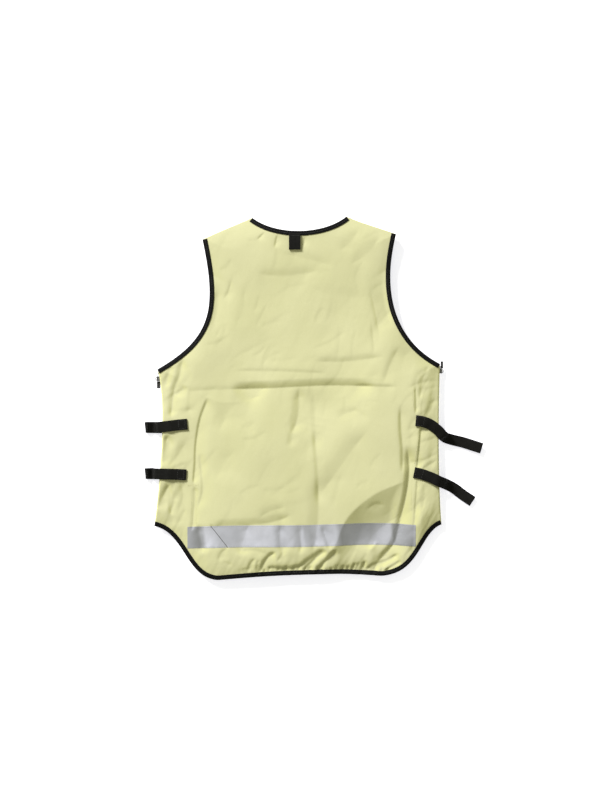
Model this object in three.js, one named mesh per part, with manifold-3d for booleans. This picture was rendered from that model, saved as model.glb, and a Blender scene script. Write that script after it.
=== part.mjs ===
// Running vest lying on its front, with its back up.
// Millimetres. X runs across the vest, Y from the hem to the neck, Z up from the floor.
import * as THREE from "three";
import { mergeVertices } from "three/addons/utils/BufferGeometryUtils.js";
import Module from "manifold-3d";

// Walls and clearances
const CLOTH = 1.3;
const TAPE = 1.0;
const WEBBING = 1.4;
const GAP = 0.35;
const BINDING_GAP = 0.5;
const FOLDED_TAPE = BINDING_GAP + TAPE;

// Heights over the floor
const BACK_TOP = 19;
const BACK_SEAM = 10;
const ZIP_HEIGHT = 4;
const FRONT_SIDE_LIFT = BACK_SEAM - 2 * CLOTH - 2 * GAP - ZIP_HEIGHT;
const FRONT_SHOULDER_LIFT = BACK_SEAM - 2 * CLOTH - 2 * FOLDED_TAPE - GAP;
const FRONT_HEM_LIFT = FOLDED_TAPE + GAP;

// How far in from an edge the cloth takes to level out
const SIDE_RUN = 34;
const HEM_RUN = 60;
const NECK_RUN = 50;
const FRONT_FLAT = 46;
const FRONT_RUN = 64;

// Share of the full height that the middle of each open edge keeps
const ARMHOLE_OPEN = 0.64;
const HEM_OPEN = 0.52;
const NECK_OPEN = 0.58;

// Trim widths
const BINDING_WIDTH = 7;
const STRAP_WIDTH = 20;
const REFLECTIVE_WIDTH = 40;
const ZIP_DEPTH = 2.4;
const SHOULDER_SEAM_DEPTH = 6;
const SEAM_END = 12;
const ZIP_TOP_END = 4;

// Grid of each panel: columns across, rows along the side, the armhole and the shoulder
const BACK_GRID = { columns: 32, side: 14, armhole: 12, shoulder: 4 };
const FRONT_GRID = { columns: 14, side: 14, armhole: 12, shoulder: 4 };

// Where the back is cut into panels: columns of its grid at the pocket lines, and the row of the yoke
const BACK_CUTS = { left: 4, right: 28, yoke: 16 };

// Corners of the cut cloth, left and right as seen with the back up
const CORNERS = {
  left: { hem: [-267.5, -234], underarm: [-261.5, 54], shoulder: [-177, 294], neck: [-86.5, 333.5] },
  right: { hem: [263.5, -231], underarm: [260.5, 64], shoulder: [178, 304], neck: [88, 336] },
};

// Handles of the edge curves between those corners, from the hem up and from left to right
const BACK_HANDLES = {
  side: { left: [[-257, -150], [-244, -10]], right: [[256, -140], [258, -20]] },
  armhole: { left: [[-160, 112], [-150, 164]], right: [[179, 106], [150, 190]] },
  shoulder: { left: [[-150, 307], [-113, 322]], right: [[148, 315], [112, 325]] },
  neck: [[-44, 300], [44, 300]],
  tail: { left: [[-210, -246], [-210, -329]], right: [[223, -246], [224, -321]] },
};
const FRONT_HANDLES = {
  side: BACK_HANDLES.side,
  armhole: { left: [[-148, 106], [-132, 168]], right: [[164, 98], [132, 190]] },
  shoulder: BACK_HANDLES.shoulder,
  neck: [[-78, 208], [78, 208]],
  tail: { left: [[-200, -240], [-204, -312]], right: [[206, -238], [214, -306]] },
};

// The bottom of the tail, from its left turn to its right turn
const BACK_TAIL = [[-150, -333.5], [-54, -326], [65, -322.5], [153, -326]];
const FRONT_TAIL = [[-145, -316], [-54, -312], [65, -310], [148, -312]];

// Folds of the back: a valley from one point to another. "ahead" and "behind" are the widths of
// its left and right flank, looking from start to end, and a negative depth makes a ridge.
const FOLDS = [
  { name: "crease across", start: [-120, 26], end: [172, 24], depth: 3, ahead: 15, behind: 7 },
  { name: "upper middle crease", start: [-6, 20], end: [-2, -50], depth: 2.5, ahead: 8, behind: 14 },
  { name: "lower middle crease", start: [28, -96], end: [35, -230], depth: 3, ahead: 8, behind: 18 },
  { name: "right pocket mouth", start: [186, -18], end: [198, -132], depth: 4, ahead: 12, behind: 10 },
  { name: "right pocket fold", start: [199, -125], end: [178, -290], depth: 5, ahead: 12, behind: 18 },
  { name: "left pocket mouth", start: [-172, 0], end: [-196, -158], depth: 3, ahead: 10, behind: 8 },
  { name: "right hollow", start: [138, -206], end: [168, -222], depth: 4, ahead: 34, behind: 30 },
  { name: "ridge by the hollow", start: [70, -240], end: [180, -152], depth: -2, ahead: 16, behind: 22 },
  { name: "fold above the tape", start: [-160, -230], end: [-12, -214], depth: 2.5, ahead: 22, behind: 10 },
  { name: "left side fold", start: [-220, 64], end: [-236, -40], depth: 3, ahead: 9, behind: 9 },
  { name: "yoke fold", start: [-82, 238], end: [40, 240], depth: 1.5, ahead: 12, behind: 12 },
  { name: "right armhole fold", start: [137, 192], end: [142, 78], depth: 2, ahead: 9, behind: 12 },
];

// Gathers of the hem: waves across, between two places, fading upwards
const GATHERS = { from: -120, to: 190, spacing: 38, depth: 2.2, reach: 46 };

// Hanging loop and reflective tape
const NECK_LOOP = { x: -8, top: 305, length: 30, width: 21, arch: 2.4 };
const REFLECTIVE = { left: -206, right: 215.5, middle: -254 };

// Straps, from the sewn end outwards. "rise" is the height over what lies below, "roll" turns the
// webbing about its own length in degrees.
const STRAPS = {
  strap_right_upper: [
    { x: 215, y: -40, rise: 0.6, roll: 0 },
    { x: 227, y: -41.5, rise: 1.2, roll: 6 },
    { x: 242, y: -47, rise: 2, roll: 16 },
    { x: 256, y: -57.5, rise: 4, roll: 20 },
    { x: 267, y: -69, rise: 9, roll: 16 },
    { x: 280, y: -74.5, rise: 3.6, roll: 6 },
    { x: 304, y: -80.5, rise: 2.2, roll: 0 },
    { x: 323, y: -87.5, rise: 4, roll: 6 },
    { x: 338, y: -93.5, rise: 7, roll: 10 },
  ],
  strap_right_lower: [
    { x: 212, y: -135.5, rise: 0.6, roll: 0 },
    { x: 226, y: -138.5, rise: 1.2, roll: 4 },
    { x: 243, y: -144.5, rise: 3.4, roll: 10 },
    { x: 259, y: -152, rise: 4.6, roll: 8 },
    { x: 273, y: -158, rise: 6.5, roll: 2 },
    { x: 288, y: -166, rise: 2.4, roll: 0 },
    { x: 304, y: -178, rise: 2, roll: 0 },
    { x: 322, y: -190, rise: 4, roll: 4 },
  ],
  strap_left_upper: [
    { x: -206, y: -46.5, rise: 0.6, roll: 0 },
    { x: -224, y: -48, rise: 1.2, roll: 0 },
    { x: -244, y: -50.5, rise: 1.6, roll: 0 },
    { x: -262, y: -52.5, rise: 2.4, roll: 0 },
  ],
  strap_left_lower: [
    { x: -208, y: -140, rise: 0.6, roll: 0 },
    { x: -226, y: -139, rise: 1.2, roll: 0 },
    { x: -246, y: -138.5, rise: 1.6, roll: 0 },
    { x: -266, y: -138, rise: 2.4, roll: 0 },
  ],
};

// Steps between two rows of a strap
const STEPS_PER_ROW = 3;

// The left straps turn back under the vest here
const LEFT_FOLD = { x: -284.5, radius: 3.6, floor: 0.4, hiddenLeg: 52 };

// Zip sliders and pulls: place along the side, and which way the pull lies (1 is to the neck)
const SLIDERS = {
  left: { y: 38, pullWay: -1 },
  right: { y: 52, pullWay: 1 },
};
const SLIDER = { length: 9, depth: 4.2, height: 6.4, corner: 1.2 };
const PULL = { length: 13, width: 4.2, thickness: 1.8, corner: 1.6, out: 1.5 };

const solids = await Module();
solids.setup();
const { Manifold, Mesh } = solids;

// Materials
const yellowCloth = new THREE.MeshStandardMaterial({ color: 0xe0deb0, roughness: 0.8, metalness: 0 });
const blackBinding = new THREE.MeshStandardMaterial({ color: 0x18181a, roughness: 0.85, metalness: 0 });
const blackWebbing = new THREE.MeshStandardMaterial({ color: 0x22211e, roughness: 0.8, metalness: 0 });
const silverTape = new THREE.MeshStandardMaterial({ color: 0xb4b6b8, roughness: 0.45, metalness: 0.3 });
const zipCoil = new THREE.MeshStandardMaterial({ color: 0x1c1c1e, roughness: 0.6, metalness: 0 });
const sliderMetal = new THREE.MeshStandardMaterial({ color: 0x3a3a3c, roughness: 0.4, metalness: 0.8 });

// Small helpers for numbers and points
const clamp = THREE.MathUtils.clamp;
const mix = THREE.MathUtils.lerp;
const smooth = THREE.MathUtils.smoothstep;

function vec2([x, y]) {
  return new THREE.Vector2(x, y);
}

function bezier(start, [first, second], end) {
  return new THREE.CubicBezierCurve(vec2(start), vec2(first), vec2(second), vec2(end));
}

// The four edges of a panel, as curves between its corners
function panelEdges(handles, tail) {
  const half = {};
  for (const side of ["left", "right"]) {
    const corner = CORNERS[side];
    half[side] = [
      bezier(corner.hem, handles.side[side], corner.underarm),
      bezier(corner.underarm, handles.armhole[side], corner.shoulder),
      bezier(corner.shoulder, handles.shoulder[side], corner.neck),
    ];
  }
  const hem = new THREE.CurvePath();
  const [rightOuter, rightInner] = handles.tail.right;
  hem.add(bezier(CORNERS.left.hem, handles.tail.left, tail[0]));
  hem.add(new THREE.SplineCurve(tail.map(vec2)));
  hem.add(bezier(tail[tail.length - 1], [rightInner, rightOuter], CORNERS.right.hem));
  const neck = bezier(CORNERS.left.neck, handles.neck, CORNERS.right.neck);
  return { hem, neck, left: half.left, right: half.right };
}

// Where a row meets the side: which of the three curves, and how far along it
function rowPlace(grid, row) {
  const counts = [grid.side, grid.armhole, grid.shoulder];
  let rest = row;
  let part = 0;
  while (part < 2 && rest > counts[part]) {
    rest -= counts[part];
    part += 1;
  }
  return { part, along: rest / counts[part] };
}

// A point of a net part of the way from one point to another
function between(start, end, share) {
  return {
    x: mix(start.x, end.x, share),
    y: mix(start.y, end.y, share),
    across: mix(start.across, end.across, share),
    part: share < 1 ? start.part : end.part,
    along: start.part === end.part ? mix(start.along, end.along, share) : start.along,
    sideInset: mix(start.sideInset, end.sideInset, share),
    hemInset: mix(start.hemInset, end.hemInset, share),
    neckInset: mix(start.neckInset, end.neckInset, share),
  };
}

// The point one binding width in from an edge point
function boundInset(edge, inner) {
  const depth = Math.hypot(inner.x - edge.x, inner.y - edge.y);
  return between(edge, inner, BINDING_WIDTH / depth);
}

// A net with one more line all round, under the inner edge of the binding
function withBorder(net) {
  const wide = net.map((line) => {
    const last = line.length - 1;
    const left = boundInset(line[0], line[1]);
    const right = boundInset(line[last], line[last - 1]);
    return [line[0], left, ...line.slice(1, last), right, line[last]];
  });
  const top = wide.length - 1;
  const hemLine = wide[0].map((point, column) => boundInset(point, wide[1][column]));
  const neckLine = wide[top].map((point, column) => boundInset(point, wide[top - 1][column]));
  return [wide[0], hemLine, ...wide.slice(1, top), neckLine, wide[top]];
}

// A panel as a net of points in plan, worked out between its four edges
function panelNet(edges, grid) {
  const rows = grid.side + grid.armhole + grid.shoulder;
  const hemEnds = [vec2(CORNERS.left.hem), vec2(CORNERS.right.hem)];
  const neckEnds = [vec2(CORNERS.left.neck), vec2(CORNERS.right.neck)];
  const net = [];
  for (let row = 0; row <= rows; row += 1) {
    const up = row / rows;
    const { part, along } = rowPlace(grid, row);
    const left = edges.left[part].getPointAt(along);
    const right = edges.right[part].getPointAt(along);
    const line = [];
    for (let column = 0; column <= grid.columns; column += 1) {
      const across = column / grid.columns;
      const hem = edges.hem.getPoint(across);
      const neck = edges.neck.getPointAt(across);
      const hemChord = new THREE.Vector2().lerpVectors(...hemEnds, across);
      const neckChord = new THREE.Vector2().lerpVectors(...neckEnds, across);
      const point = new THREE.Vector2().lerpVectors(left, right, across);
      point.addScaledVector(hem.clone().sub(hemChord), 1 - up);
      point.addScaledVector(neck.clone().sub(neckChord), up);
      const sideInset = Math.min(point.distanceTo(left), point.distanceTo(right));
      const hemInset = point.distanceTo(hem);
      const neckInset = point.distanceTo(neck);
      line.push({ x: point.x, y: point.y, across, part, along, sideInset, hemInset, neckInset });
    }
    net.push(line);
  }
  return withBorder(net);
}

// Depth of one fold at a place
function foldDepth(fold, x, y) {
  const start = vec2(fold.start);
  const run = vec2(fold.end).sub(start);
  const length = run.length();
  const ahead = run.divideScalar(length);
  const off = new THREE.Vector2(x, y).sub(start);
  const along = off.dot(ahead);
  const aside = ahead.cross(off);
  const width = aside > 0 ? fold.ahead : fold.behind;
  const past = Math.max(0, -along, along - length);
  const fade = Math.exp(-((past / width) ** 2));
  return fold.depth * fade * Math.exp(-((aside / width) ** 2));
}

// Waves of the gathered hem at a place
function gatherDepth(x, hemInset) {
  const within = smooth(x, GATHERS.from, GATHERS.from + 30) * (1 - smooth(x, GATHERS.to - 30, GATHERS.to));
  const fade = Math.exp(-((hemInset / GATHERS.reach) ** 2));
  return GATHERS.depth * within * fade * Math.sin((2 * Math.PI * (x - GATHERS.from)) / GATHERS.spacing);
}

// How an edge rises to the full height, from "open" at the edge to one
function pillow(inset, run, open) {
  const share = 1 - clamp(inset / run, 0, 1);
  return open + (1 - open) * (1 - share * share);
}

// Top of the back panel over the floor
function backTop(point) {
  const { x, y, across, part, along } = point;
  const armhole = part === 1 ? ARMHOLE_OPEN * Math.sin(Math.PI * along) : 0;
  const middle = Math.sin(Math.PI * across);
  const rise =
    pillow(point.sideInset, SIDE_RUN, armhole) *
    pillow(point.hemInset, HEM_RUN, HEM_OPEN * middle) *
    pillow(point.neckInset, NECK_RUN, NECK_OPEN * middle);
  let height = BACK_TOP + gatherDepth(x, point.hemInset);
  for (const fold of FOLDS) {
    height -= foldDepth(fold, x, y);
  }
  return mix(BACK_SEAM, height, rise);
}

// Top of the front panel over the floor: flat in the middle, lifted towards its edges
function frontTop(point) {
  const { across, part, along, sideInset, hemInset, neckInset } = point;
  const climb = [0, smooth(along, 0.2, 1), 1][part];
  const sideLift = mix(FRONT_SIDE_LIFT, FRONT_SHOULDER_LIFT, climb);
  const middle = Math.sqrt(Math.sin(Math.PI * clamp(across, 0, 1)));
  const hemLift = mix(FRONT_SIDE_LIFT, FRONT_HEM_LIFT, middle);
  const neckLift = mix(FRONT_SHOULDER_LIFT, FRONT_HEM_LIFT, middle);
  const sideFlat = part === 0 ? FRONT_FLAT : BINDING_WIDTH;
  const side = sideLift * (1 - smooth(sideInset, sideFlat, sideFlat + FRONT_RUN));
  const hem = hemLift * (1 - smooth(hemInset, BINDING_WIDTH, FRONT_RUN));
  const neck = neckLift * (1 - smooth(neckInset, BINDING_WIDTH, FRONT_RUN));
  return CLOTH + Math.max(side, hem, neck);
}

// A box cut into steps along, across and through, with each corner moved by "place"
function bent(along, across, place) {
  const box = new THREE.BoxGeometry(1, 1, 1, along, across, 1);
  box.deleteAttribute("normal");
  box.deleteAttribute("uv");
  const geometry = mergeVertices(box, 1e-4);
  const corners = geometry.getAttribute("position");
  for (let index = 0; index < corners.count; index += 1) {
    const step = Math.round((corners.getX(index) + 0.5) * along);
    const lane = Math.round((corners.getY(index) + 0.5) * across);
    const outer = corners.getZ(index) > 0;
    const moved = place(step, lane, outer);
    corners.setXYZ(index, moved.x, moved.y, moved.z);
  }
  geometry.computeVertexNormals();
  return geometry;
}

// A cloth wall over a net, between two heights over the net's own top
function sheet(net, over, under) {
  const columns = net[0].length - 1;
  const rows = net.length - 1;
  return bent(columns, rows, (column, row, outer) => {
    const point = net[row][column];
    return new THREE.Vector3(point.x, point.y, point.top + (outer ? over : under));
  });
}

// Part of a net that has its border line, drawn back by half a gap from the panels beside it
function cutNet(net, [firstRow, lastRow], [firstColumn, lastColumn]) {
  const topRow = net.length - 1;
  const endColumn = net[0].length - 1;
  const half = GAP / 2;
  const drawBack = (point, row, column) => {
    const atLeft = column === firstColumn && column > 0;
    const atRight = column === lastColumn && column < endColumn;
    const atBottom = row === firstRow && row > 0;
    const atTop = row === lastRow && row < topRow;
    const x = point.x + half * (Number(atLeft) - Number(atRight));
    const y = point.y + half * (Number(atBottom) - Number(atTop));
    return { ...point, x, y };
  };
  const lines = net.slice(firstRow, lastRow + 1);
  return lines.map((line, row) => {
    const points = line.slice(firstColumn, lastColumn + 1);
    return points.map((point, column) => drawBack(point, firstRow + row, firstColumn + column));
  });
}

// The underarm and shoulder rows of a net that has its border line
function cornerRows(grid) {
  return { underarm: grid.side + 1, shoulder: grid.side + grid.armhole + 1 };
}

// Points along one open edge of a net, each with the next point inwards
function edgeStations(net, edge, grid) {
  const lastRow = net.length - 1;
  const lastColumn = net[0].length - 1;
  const { underarm, shoulder } = cornerRows(grid);
  const armholeRows = net.slice(underarm, shoulder + 1);
  if (edge === "hem") {
    return net[0].map((point, column) => ({ edge: point, inner: net[1][column] }));
  }
  if (edge === "neck") {
    const stations = net[lastRow].map((point, column) => ({ edge: point, inner: net[lastRow - 1][column] }));
    return stations.reverse();
  }
  if (edge === "armhole right") {
    return armholeRows.map((line) => ({ edge: line[lastColumn], inner: line[lastColumn - 1] }));
  }
  return armholeRows.map((line) => ({ edge: line[0], inner: line[1] })).reverse();
}

// Binding: a flat tape folded over the cut edge of a panel, lane by lane from its lower to its upper leg
function binding(stations) {
  const steps = stations.length - 1;
  return bent(steps, 3, (step, lane, outer) => {
    const { edge, inner } = stations[step];
    const inwards = new THREE.Vector2(inner.x - edge.x, inner.y - edge.y).normalize();
    const leg = lane === 0 || lane === 3;
    const clear = BINDING_GAP + (outer ? TAPE : 0);
    const inset = leg ? BINDING_WIDTH : -clear;
    const top = leg ? inner.top : edge.top;
    const height = lane >= 2 ? top + clear : top - CLOTH - clear;
    return new THREE.Vector3(edge.x + inwards.x * inset, edge.y + inwards.y * inset, height);
  });
}

// Points along a closed side edge, from one distance past its start to another before its end
function seamStations(backEdge, frontEdge, startEnd, finishEnd) {
  const points = backEdge.map(({ x, y, top }, index) => ({ x, y, roof: top, floor: frontEdge[index].top }));
  const shortened = (corner, next, end) => {
    const share = end / Math.hypot(next.x - corner.x, next.y - corner.y);
    return {
      x: mix(corner.x, next.x, share),
      y: mix(corner.y, next.y, share),
      roof: mix(corner.roof, next.roof, share),
      floor: mix(corner.floor, next.floor, share),
    };
  };
  const last = points.length - 1;
  const first = shortened(points[0], points[1], startEnd);
  const final = shortened(points[last], points[last - 1], finishEnd);
  return [first, ...points.slice(1, last), final];
}

// A strip that closes a side edge between the back and the front
function seamStrip(stations, depth, side) {
  const last = stations.length - 1;
  const inwards = side === "left" ? 1 : -1;
  return bent(last, 1, (step, lane, outer) => {
    const { x, y, roof, floor } = stations[step];
    const before = stations[Math.max(step - 1, 0)];
    const after = stations[Math.min(step + 1, last)];
    const across = new THREE.Vector2(after.y - before.y, before.x - after.x).normalize();
    const inner = (lane === 0) === (side === "left");
    const inset = inner ? inwards * depth : 0;
    const height = outer ? roof - CLOTH - GAP : floor + GAP;
    return new THREE.Vector3(x + across.x * inset, y + across.y * inset, height);
  });
}

// Highest point of a solid under a small square, or the floor
function supportUnder(solid, x, y, reach) {
  const ray = new THREE.Raycaster();
  const down = new THREE.Vector3(0, 0, -1);
  let highest = 0;
  for (const sideX of [-1, -0.5, 0, 0.5, 1]) {
    for (const sideY of [-1, -0.5, 0, 0.5, 1]) {
      ray.set(new THREE.Vector3(x + sideX * reach.x, y + sideY * reach.y, 100), down);
      const hit = ray.intersectObject(solid, false)[0];
      highest = Math.max(highest, hit ? hit.point.z : 0);
    }
  }
  return highest;
}

// Stations of a strap along its rows, kept clear of what lies below
function laidStations(rows, solid) {
  const points = rows.map((row) => {
    const support = supportUnder(solid, row.x, row.y, { x: 2, y: STRAP_WIDTH / 2 });
    return new THREE.Vector3(row.x, row.y, support + row.rise + WEBBING / 2);
  });
  const route = new THREE.CatmullRomCurve3(points, false, "centripetal");
  const total = (rows.length - 1) * STEPS_PER_ROW;
  const stations = [];
  for (let step = 0; step <= total; step += 1) {
    const place = (step / total) * (rows.length - 1);
    const before = Math.min(Math.floor(place), rows.length - 2);
    const roll = THREE.MathUtils.degToRad(mix(rows[before].roll, rows[before + 1].roll, place - before));
    const point = route.getPoint(step / total);
    const support = supportUnder(solid, point.x, point.y, { x: STRAP_WIDTH / 2, y: STRAP_WIDTH / 2 });
    const clear = 3 * GAP + WEBBING / 2 + (STRAP_WIDTH / 2) * Math.sin(Math.abs(roll));
    point.z = Math.max(point.z, support + clear);
    stations.push({ point, roll });
  }
  return stations;
}

// The part of a left strap that turns round the side and lies under the vest
function foldedUnder(stations) {
  const { y } = stations[stations.length - 1].point;
  const lowest = LEFT_FOLD.floor + WEBBING / 2;
  const middle = { x: LEFT_FOLD.x + LEFT_FOLD.radius, z: lowest + LEFT_FOLD.radius };
  const turned = stations.slice();
  for (let degrees = 90; degrees <= 270; degrees += 30) {
    const angle = THREE.MathUtils.degToRad(degrees);
    const x = middle.x + LEFT_FOLD.radius * Math.cos(angle);
    const z = middle.z + LEFT_FOLD.radius * Math.sin(angle);
    turned.push({ point: new THREE.Vector3(x, y, z), roll: 0 });
  }
  for (const share of [0.35, 0.7, 1]) {
    const x = middle.x + LEFT_FOLD.hiddenLeg * share;
    turned.push({ point: new THREE.Vector3(x, y, lowest), roll: 0 });
  }
  return turned;
}

// A strap through its stations, with its width level before it is rolled
function strap(stations) {
  const last = stations.length - 1;
  const first = stations[0].point;
  let level = new THREE.Vector3(first.y - stations[1].point.y, stations[1].point.x - first.x, 0).normalize();
  const spots = stations.map(({ point, roll }, index) => {
    const before = stations[Math.max(index - 1, 0)].point;
    const after = stations[Math.min(index + 1, last)].point;
    const heading = after.clone().sub(before).normalize();
    level = level.clone().addScaledVector(heading, -level.dot(heading));
    level.setZ(0).normalize();
    const width = level.clone().addScaledVector(heading, -level.dot(heading)).normalize();
    width.applyAxisAngle(heading, roll);
    return { point, width, normal: new THREE.Vector3().crossVectors(heading, width) };
  });
  return bent(last, 1, (step, lane, outer) => {
    const { point, width, normal } = spots[step];
    const corner = point.clone();
    corner.addScaledVector(width, (lane - 0.5) * STRAP_WIDTH);
    corner.addScaledVector(normal, outer ? WEBBING / 2 : -WEBBING / 2);
    return corner;
  });
}

// Hanging loop: a short webbing arched over the neck binding and the cloth below it
function neckLoop(below) {
  const steps = 8;
  const heights = [];
  for (let step = 0; step <= steps; step += 1) {
    const y = NECK_LOOP.top - (NECK_LOOP.length * step) / steps;
    const reach = { x: NECK_LOOP.width / 2, y: NECK_LOOP.length / steps };
    const under = Math.max(...below.map((solid) => supportUnder(solid, NECK_LOOP.x, y, reach)));
    heights.push(under + GAP + NECK_LOOP.arch * Math.sin((Math.PI * step) / steps));
  }
  return bent(steps, 1, (step, lane, outer) => {
    const y = NECK_LOOP.top - (NECK_LOOP.length * step) / steps;
    const x = NECK_LOOP.x + (lane - 0.5) * NECK_LOOP.width;
    return new THREE.Vector3(x, y, heights[step] + (outer ? WEBBING : 0));
  });
}

// Geometry to a solid that can be cut, and back
function toManifold(geometry) {
  const corners = geometry.getAttribute("position").array;
  const mesh = new Mesh({
    numProp: 3,
    vertProperties: new Float32Array(corners),
    triVerts: new Uint32Array(geometry.index.array),
  });
  mesh.merge();
  return new Manifold(mesh);
}

function fromManifold(solid) {
  const mesh = solid.getMesh();
  const geometry = new THREE.BufferGeometry();
  geometry.setAttribute("position", new THREE.BufferAttribute(mesh.vertProperties, 3));
  geometry.setIndex(new THREE.BufferAttribute(mesh.triVerts, 1));
  geometry.computeVertexNormals();
  return geometry;
}

// Reflective tape: what lies between two heights over the back panel, cut to the tape's own outline
function reflectiveTape(net) {
  const upper = toManifold(sheet(net, GAP + TAPE, -BACK_TOP));
  const lower = toManifold(sheet(net, GAP, -2 * BACK_TOP));
  const width = REFLECTIVE.right - REFLECTIVE.left;
  const block = Manifold.cube([width, REFLECTIVE_WIDTH, 3 * BACK_TOP], false);
  const cutter = block.translate([REFLECTIVE.left, REFLECTIVE.middle - REFLECTIVE_WIDTH / 2, 0]);
  return fromManifold(Manifold.intersection(Manifold.difference(upper, lower), cutter));
}

// Outline with rounded corners, for the zip hardware
function roundedOutline(length, width, corner) {
  const outline = new THREE.Shape();
  const x = length / 2;
  const y = width / 2;
  outline.moveTo(-x + corner, -y);
  outline.lineTo(x - corner, -y);
  outline.absarc(x - corner, -y + corner, corner, -Math.PI / 2, 0, false);
  outline.lineTo(x, y - corner);
  outline.absarc(x - corner, y - corner, corner, 0, Math.PI / 2, false);
  outline.lineTo(-x + corner, y);
  outline.absarc(-x + corner, y - corner, corner, Math.PI / 2, Math.PI, false);
  outline.lineTo(-x, -y + corner);
  outline.absarc(-x + corner, -y + corner, corner, Math.PI, 1.5 * Math.PI, false);
  return outline;
}

// Place on a side edge of the back panel at a height along Y, with the edge's turn from the Y axis
function sidePlace(edge, y) {
  let row = 0;
  while (edge[row + 1].y < y) {
    row += 1;
  }
  const low = edge[row];
  const high = edge[row + 1];
  const share = (y - low.y) / (high.y - low.y);
  const turn = Math.atan2(low.x - high.x, high.y - low.y);
  return { x: mix(low.x, high.x, share), y, top: mix(low.top, high.top, share), turn };
}

// A small block beside the zip, its outline seen from above, set off along the side from a place
function besideZip(side, spot, outline, height, { along, out }) {
  const way = side === "left" ? -1 : 1;
  const block = new THREE.ExtrudeGeometry(outline, { depth: height, bevelEnabled: false, curveSegments: 3 });
  const middle = spot.top - CLOTH - GAP - ZIP_HEIGHT / 2;
  block.translate(way * (2 * GAP + SLIDER.depth / 2 + out), along, -height / 2);
  block.rotateZ(spot.turn);
  block.translate(spot.x, spot.y, middle);
  return block;
}

// Slider body beside the zip
function zipSlider(side, spot) {
  const outline = roundedOutline(SLIDER.depth, SLIDER.length, SLIDER.corner);
  return besideZip(side, spot, outline, SLIDER.height, { along: 0, out: 0 });
}

// Pull lying along the side, just past the slider
function zipPull(side, spot) {
  const outline = roundedOutline(PULL.width, PULL.length, PULL.corner);
  const reach = SLIDER.length / 2 + GAP + PULL.length / 2;
  const place = { along: SLIDERS[side].pullWay * reach, out: PULL.out };
  return besideZip(side, spot, outline, PULL.thickness, place);
}

// A net with the height of its top worked out at each point
function withTops(net, topOf) {
  for (const line of net) {
    for (const point of line) {
      point.top = topOf(point);
    }
  }
  return net;
}

// A named piece of the vest
function piece(name, geometry, material) {
  const mesh = new THREE.Mesh(geometry, material);
  mesh.name = name;
  return mesh;
}

const backNet = withTops(panelNet(panelEdges(BACK_HANDLES, BACK_TAIL), BACK_GRID), backTop);
const frontNet = withTops(panelNet(panelEdges(FRONT_HANDLES, FRONT_TAIL), FRONT_GRID), frontTop);

const vest = new THREE.Group();
vest.name = "running_vest";

// The back in one, for what lies on it, and the panels that it is cut into
const wholeBack = piece("whole_back", sheet(backNet, 0, -CLOTH), yellowCloth);
const yokeRow = BACK_CUTS.yoke + 1;
const lowerRows = [0, yokeRow];
const upperRows = [yokeRow, backNet.length - 1];
const leftColumns = [0, BACK_CUTS.left + 1];
const middleColumns = [BACK_CUTS.left + 1, BACK_CUTS.right + 1];
const rightColumns = [BACK_CUTS.right + 1, backNet[0].length - 1];
const backPanels = {
  back_panel: [lowerRows, middleColumns],
  back_side_left: [lowerRows, leftColumns],
  back_side_right: [lowerRows, rightColumns],
  back_yoke: [upperRows, middleColumns],
  back_shoulder_left: [upperRows, leftColumns],
  back_shoulder_right: [upperRows, rightColumns],
};
for (const [name, [rows, columns]] of Object.entries(backPanels)) {
  vest.add(piece(name, sheet(cutNet(backNet, rows, columns), 0, -CLOTH), yellowCloth));
}
vest.add(piece("front_panel", sheet(frontNet, 0, -CLOTH), yellowCloth));

const boundEdges = {
  neck: "neck_binding",
  hem: "hem_binding",
  "armhole left": "armhole_left_binding",
  "armhole right": "armhole_right_binding",
};
for (const [edge, name] of Object.entries(boundEdges)) {
  const backStrip = binding(edgeStations(backNet, edge, BACK_GRID));
  const frontStrip = binding(edgeStations(frontNet, edge, FRONT_GRID));
  vest.add(piece(`${name}_back`, backStrip, blackBinding));
  vest.add(piece(`${name}_front`, frontStrip, blackBinding));
}

const neckTape = vest.getObjectByName("neck_binding_back");
vest.add(piece("neck_loop", neckLoop([wholeBack, neckTape]), blackWebbing));
vest.add(piece("reflective_tape", reflectiveTape(backNet), silverTape));

for (const [name, rows] of Object.entries(STRAPS)) {
  const laid = laidStations(rows, wholeBack);
  const stations = name.includes("left") ? foldedUnder(laid) : laid;
  vest.add(piece(name, strap(stations), blackWebbing));
}

const corners = cornerRows(BACK_GRID);
for (const side of ["left", "right"]) {
  const backEdge = backNet.map((line) => line[side === "left" ? 0 : line.length - 1]);
  const frontEdge = frontNet.map((line) => line[side === "left" ? 0 : line.length - 1]);
  // The rows under the hem and neck bindings are skipped, so the strips stay clear of the bindings.
  const onSide = (point, row) => row !== 1 && row <= corners.underarm;
  const onShoulder = (point, row) => row !== backEdge.length - 2 && row >= corners.shoulder;
  const zipLine = seamStations(backEdge.filter(onSide), frontEdge.filter(onSide), SEAM_END, ZIP_TOP_END);
  const shoulderLines = [backEdge.filter(onShoulder), frontEdge.filter(onShoulder)];
  const seamLine = seamStations(...shoulderLines, SEAM_END, SEAM_END);
  vest.add(piece(`side_zip_${side}`, seamStrip(zipLine, ZIP_DEPTH, side), zipCoil));
  vest.add(piece(`shoulder_seam_${side}`, seamStrip(seamLine, SHOULDER_SEAM_DEPTH, side), yellowCloth));

  const spot = sidePlace(backEdge.slice(0, corners.underarm + 1), SLIDERS[side].y);
  vest.add(piece(`zip_slider_${side}`, zipSlider(side, spot), sliderMetal));
  vest.add(piece(`zip_pull_${side}`, zipPull(side, spot), blackWebbing));
}

// Origin: the middle of the footprint, on the floor
const box = new THREE.Box3().setFromObject(vest);
vest.position.set(-(box.min.x + box.max.x) / 2, -(box.min.y + box.max.y) / 2, -box.min.z);
vest.updateMatrixWorld(true);

export default vest;
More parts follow.
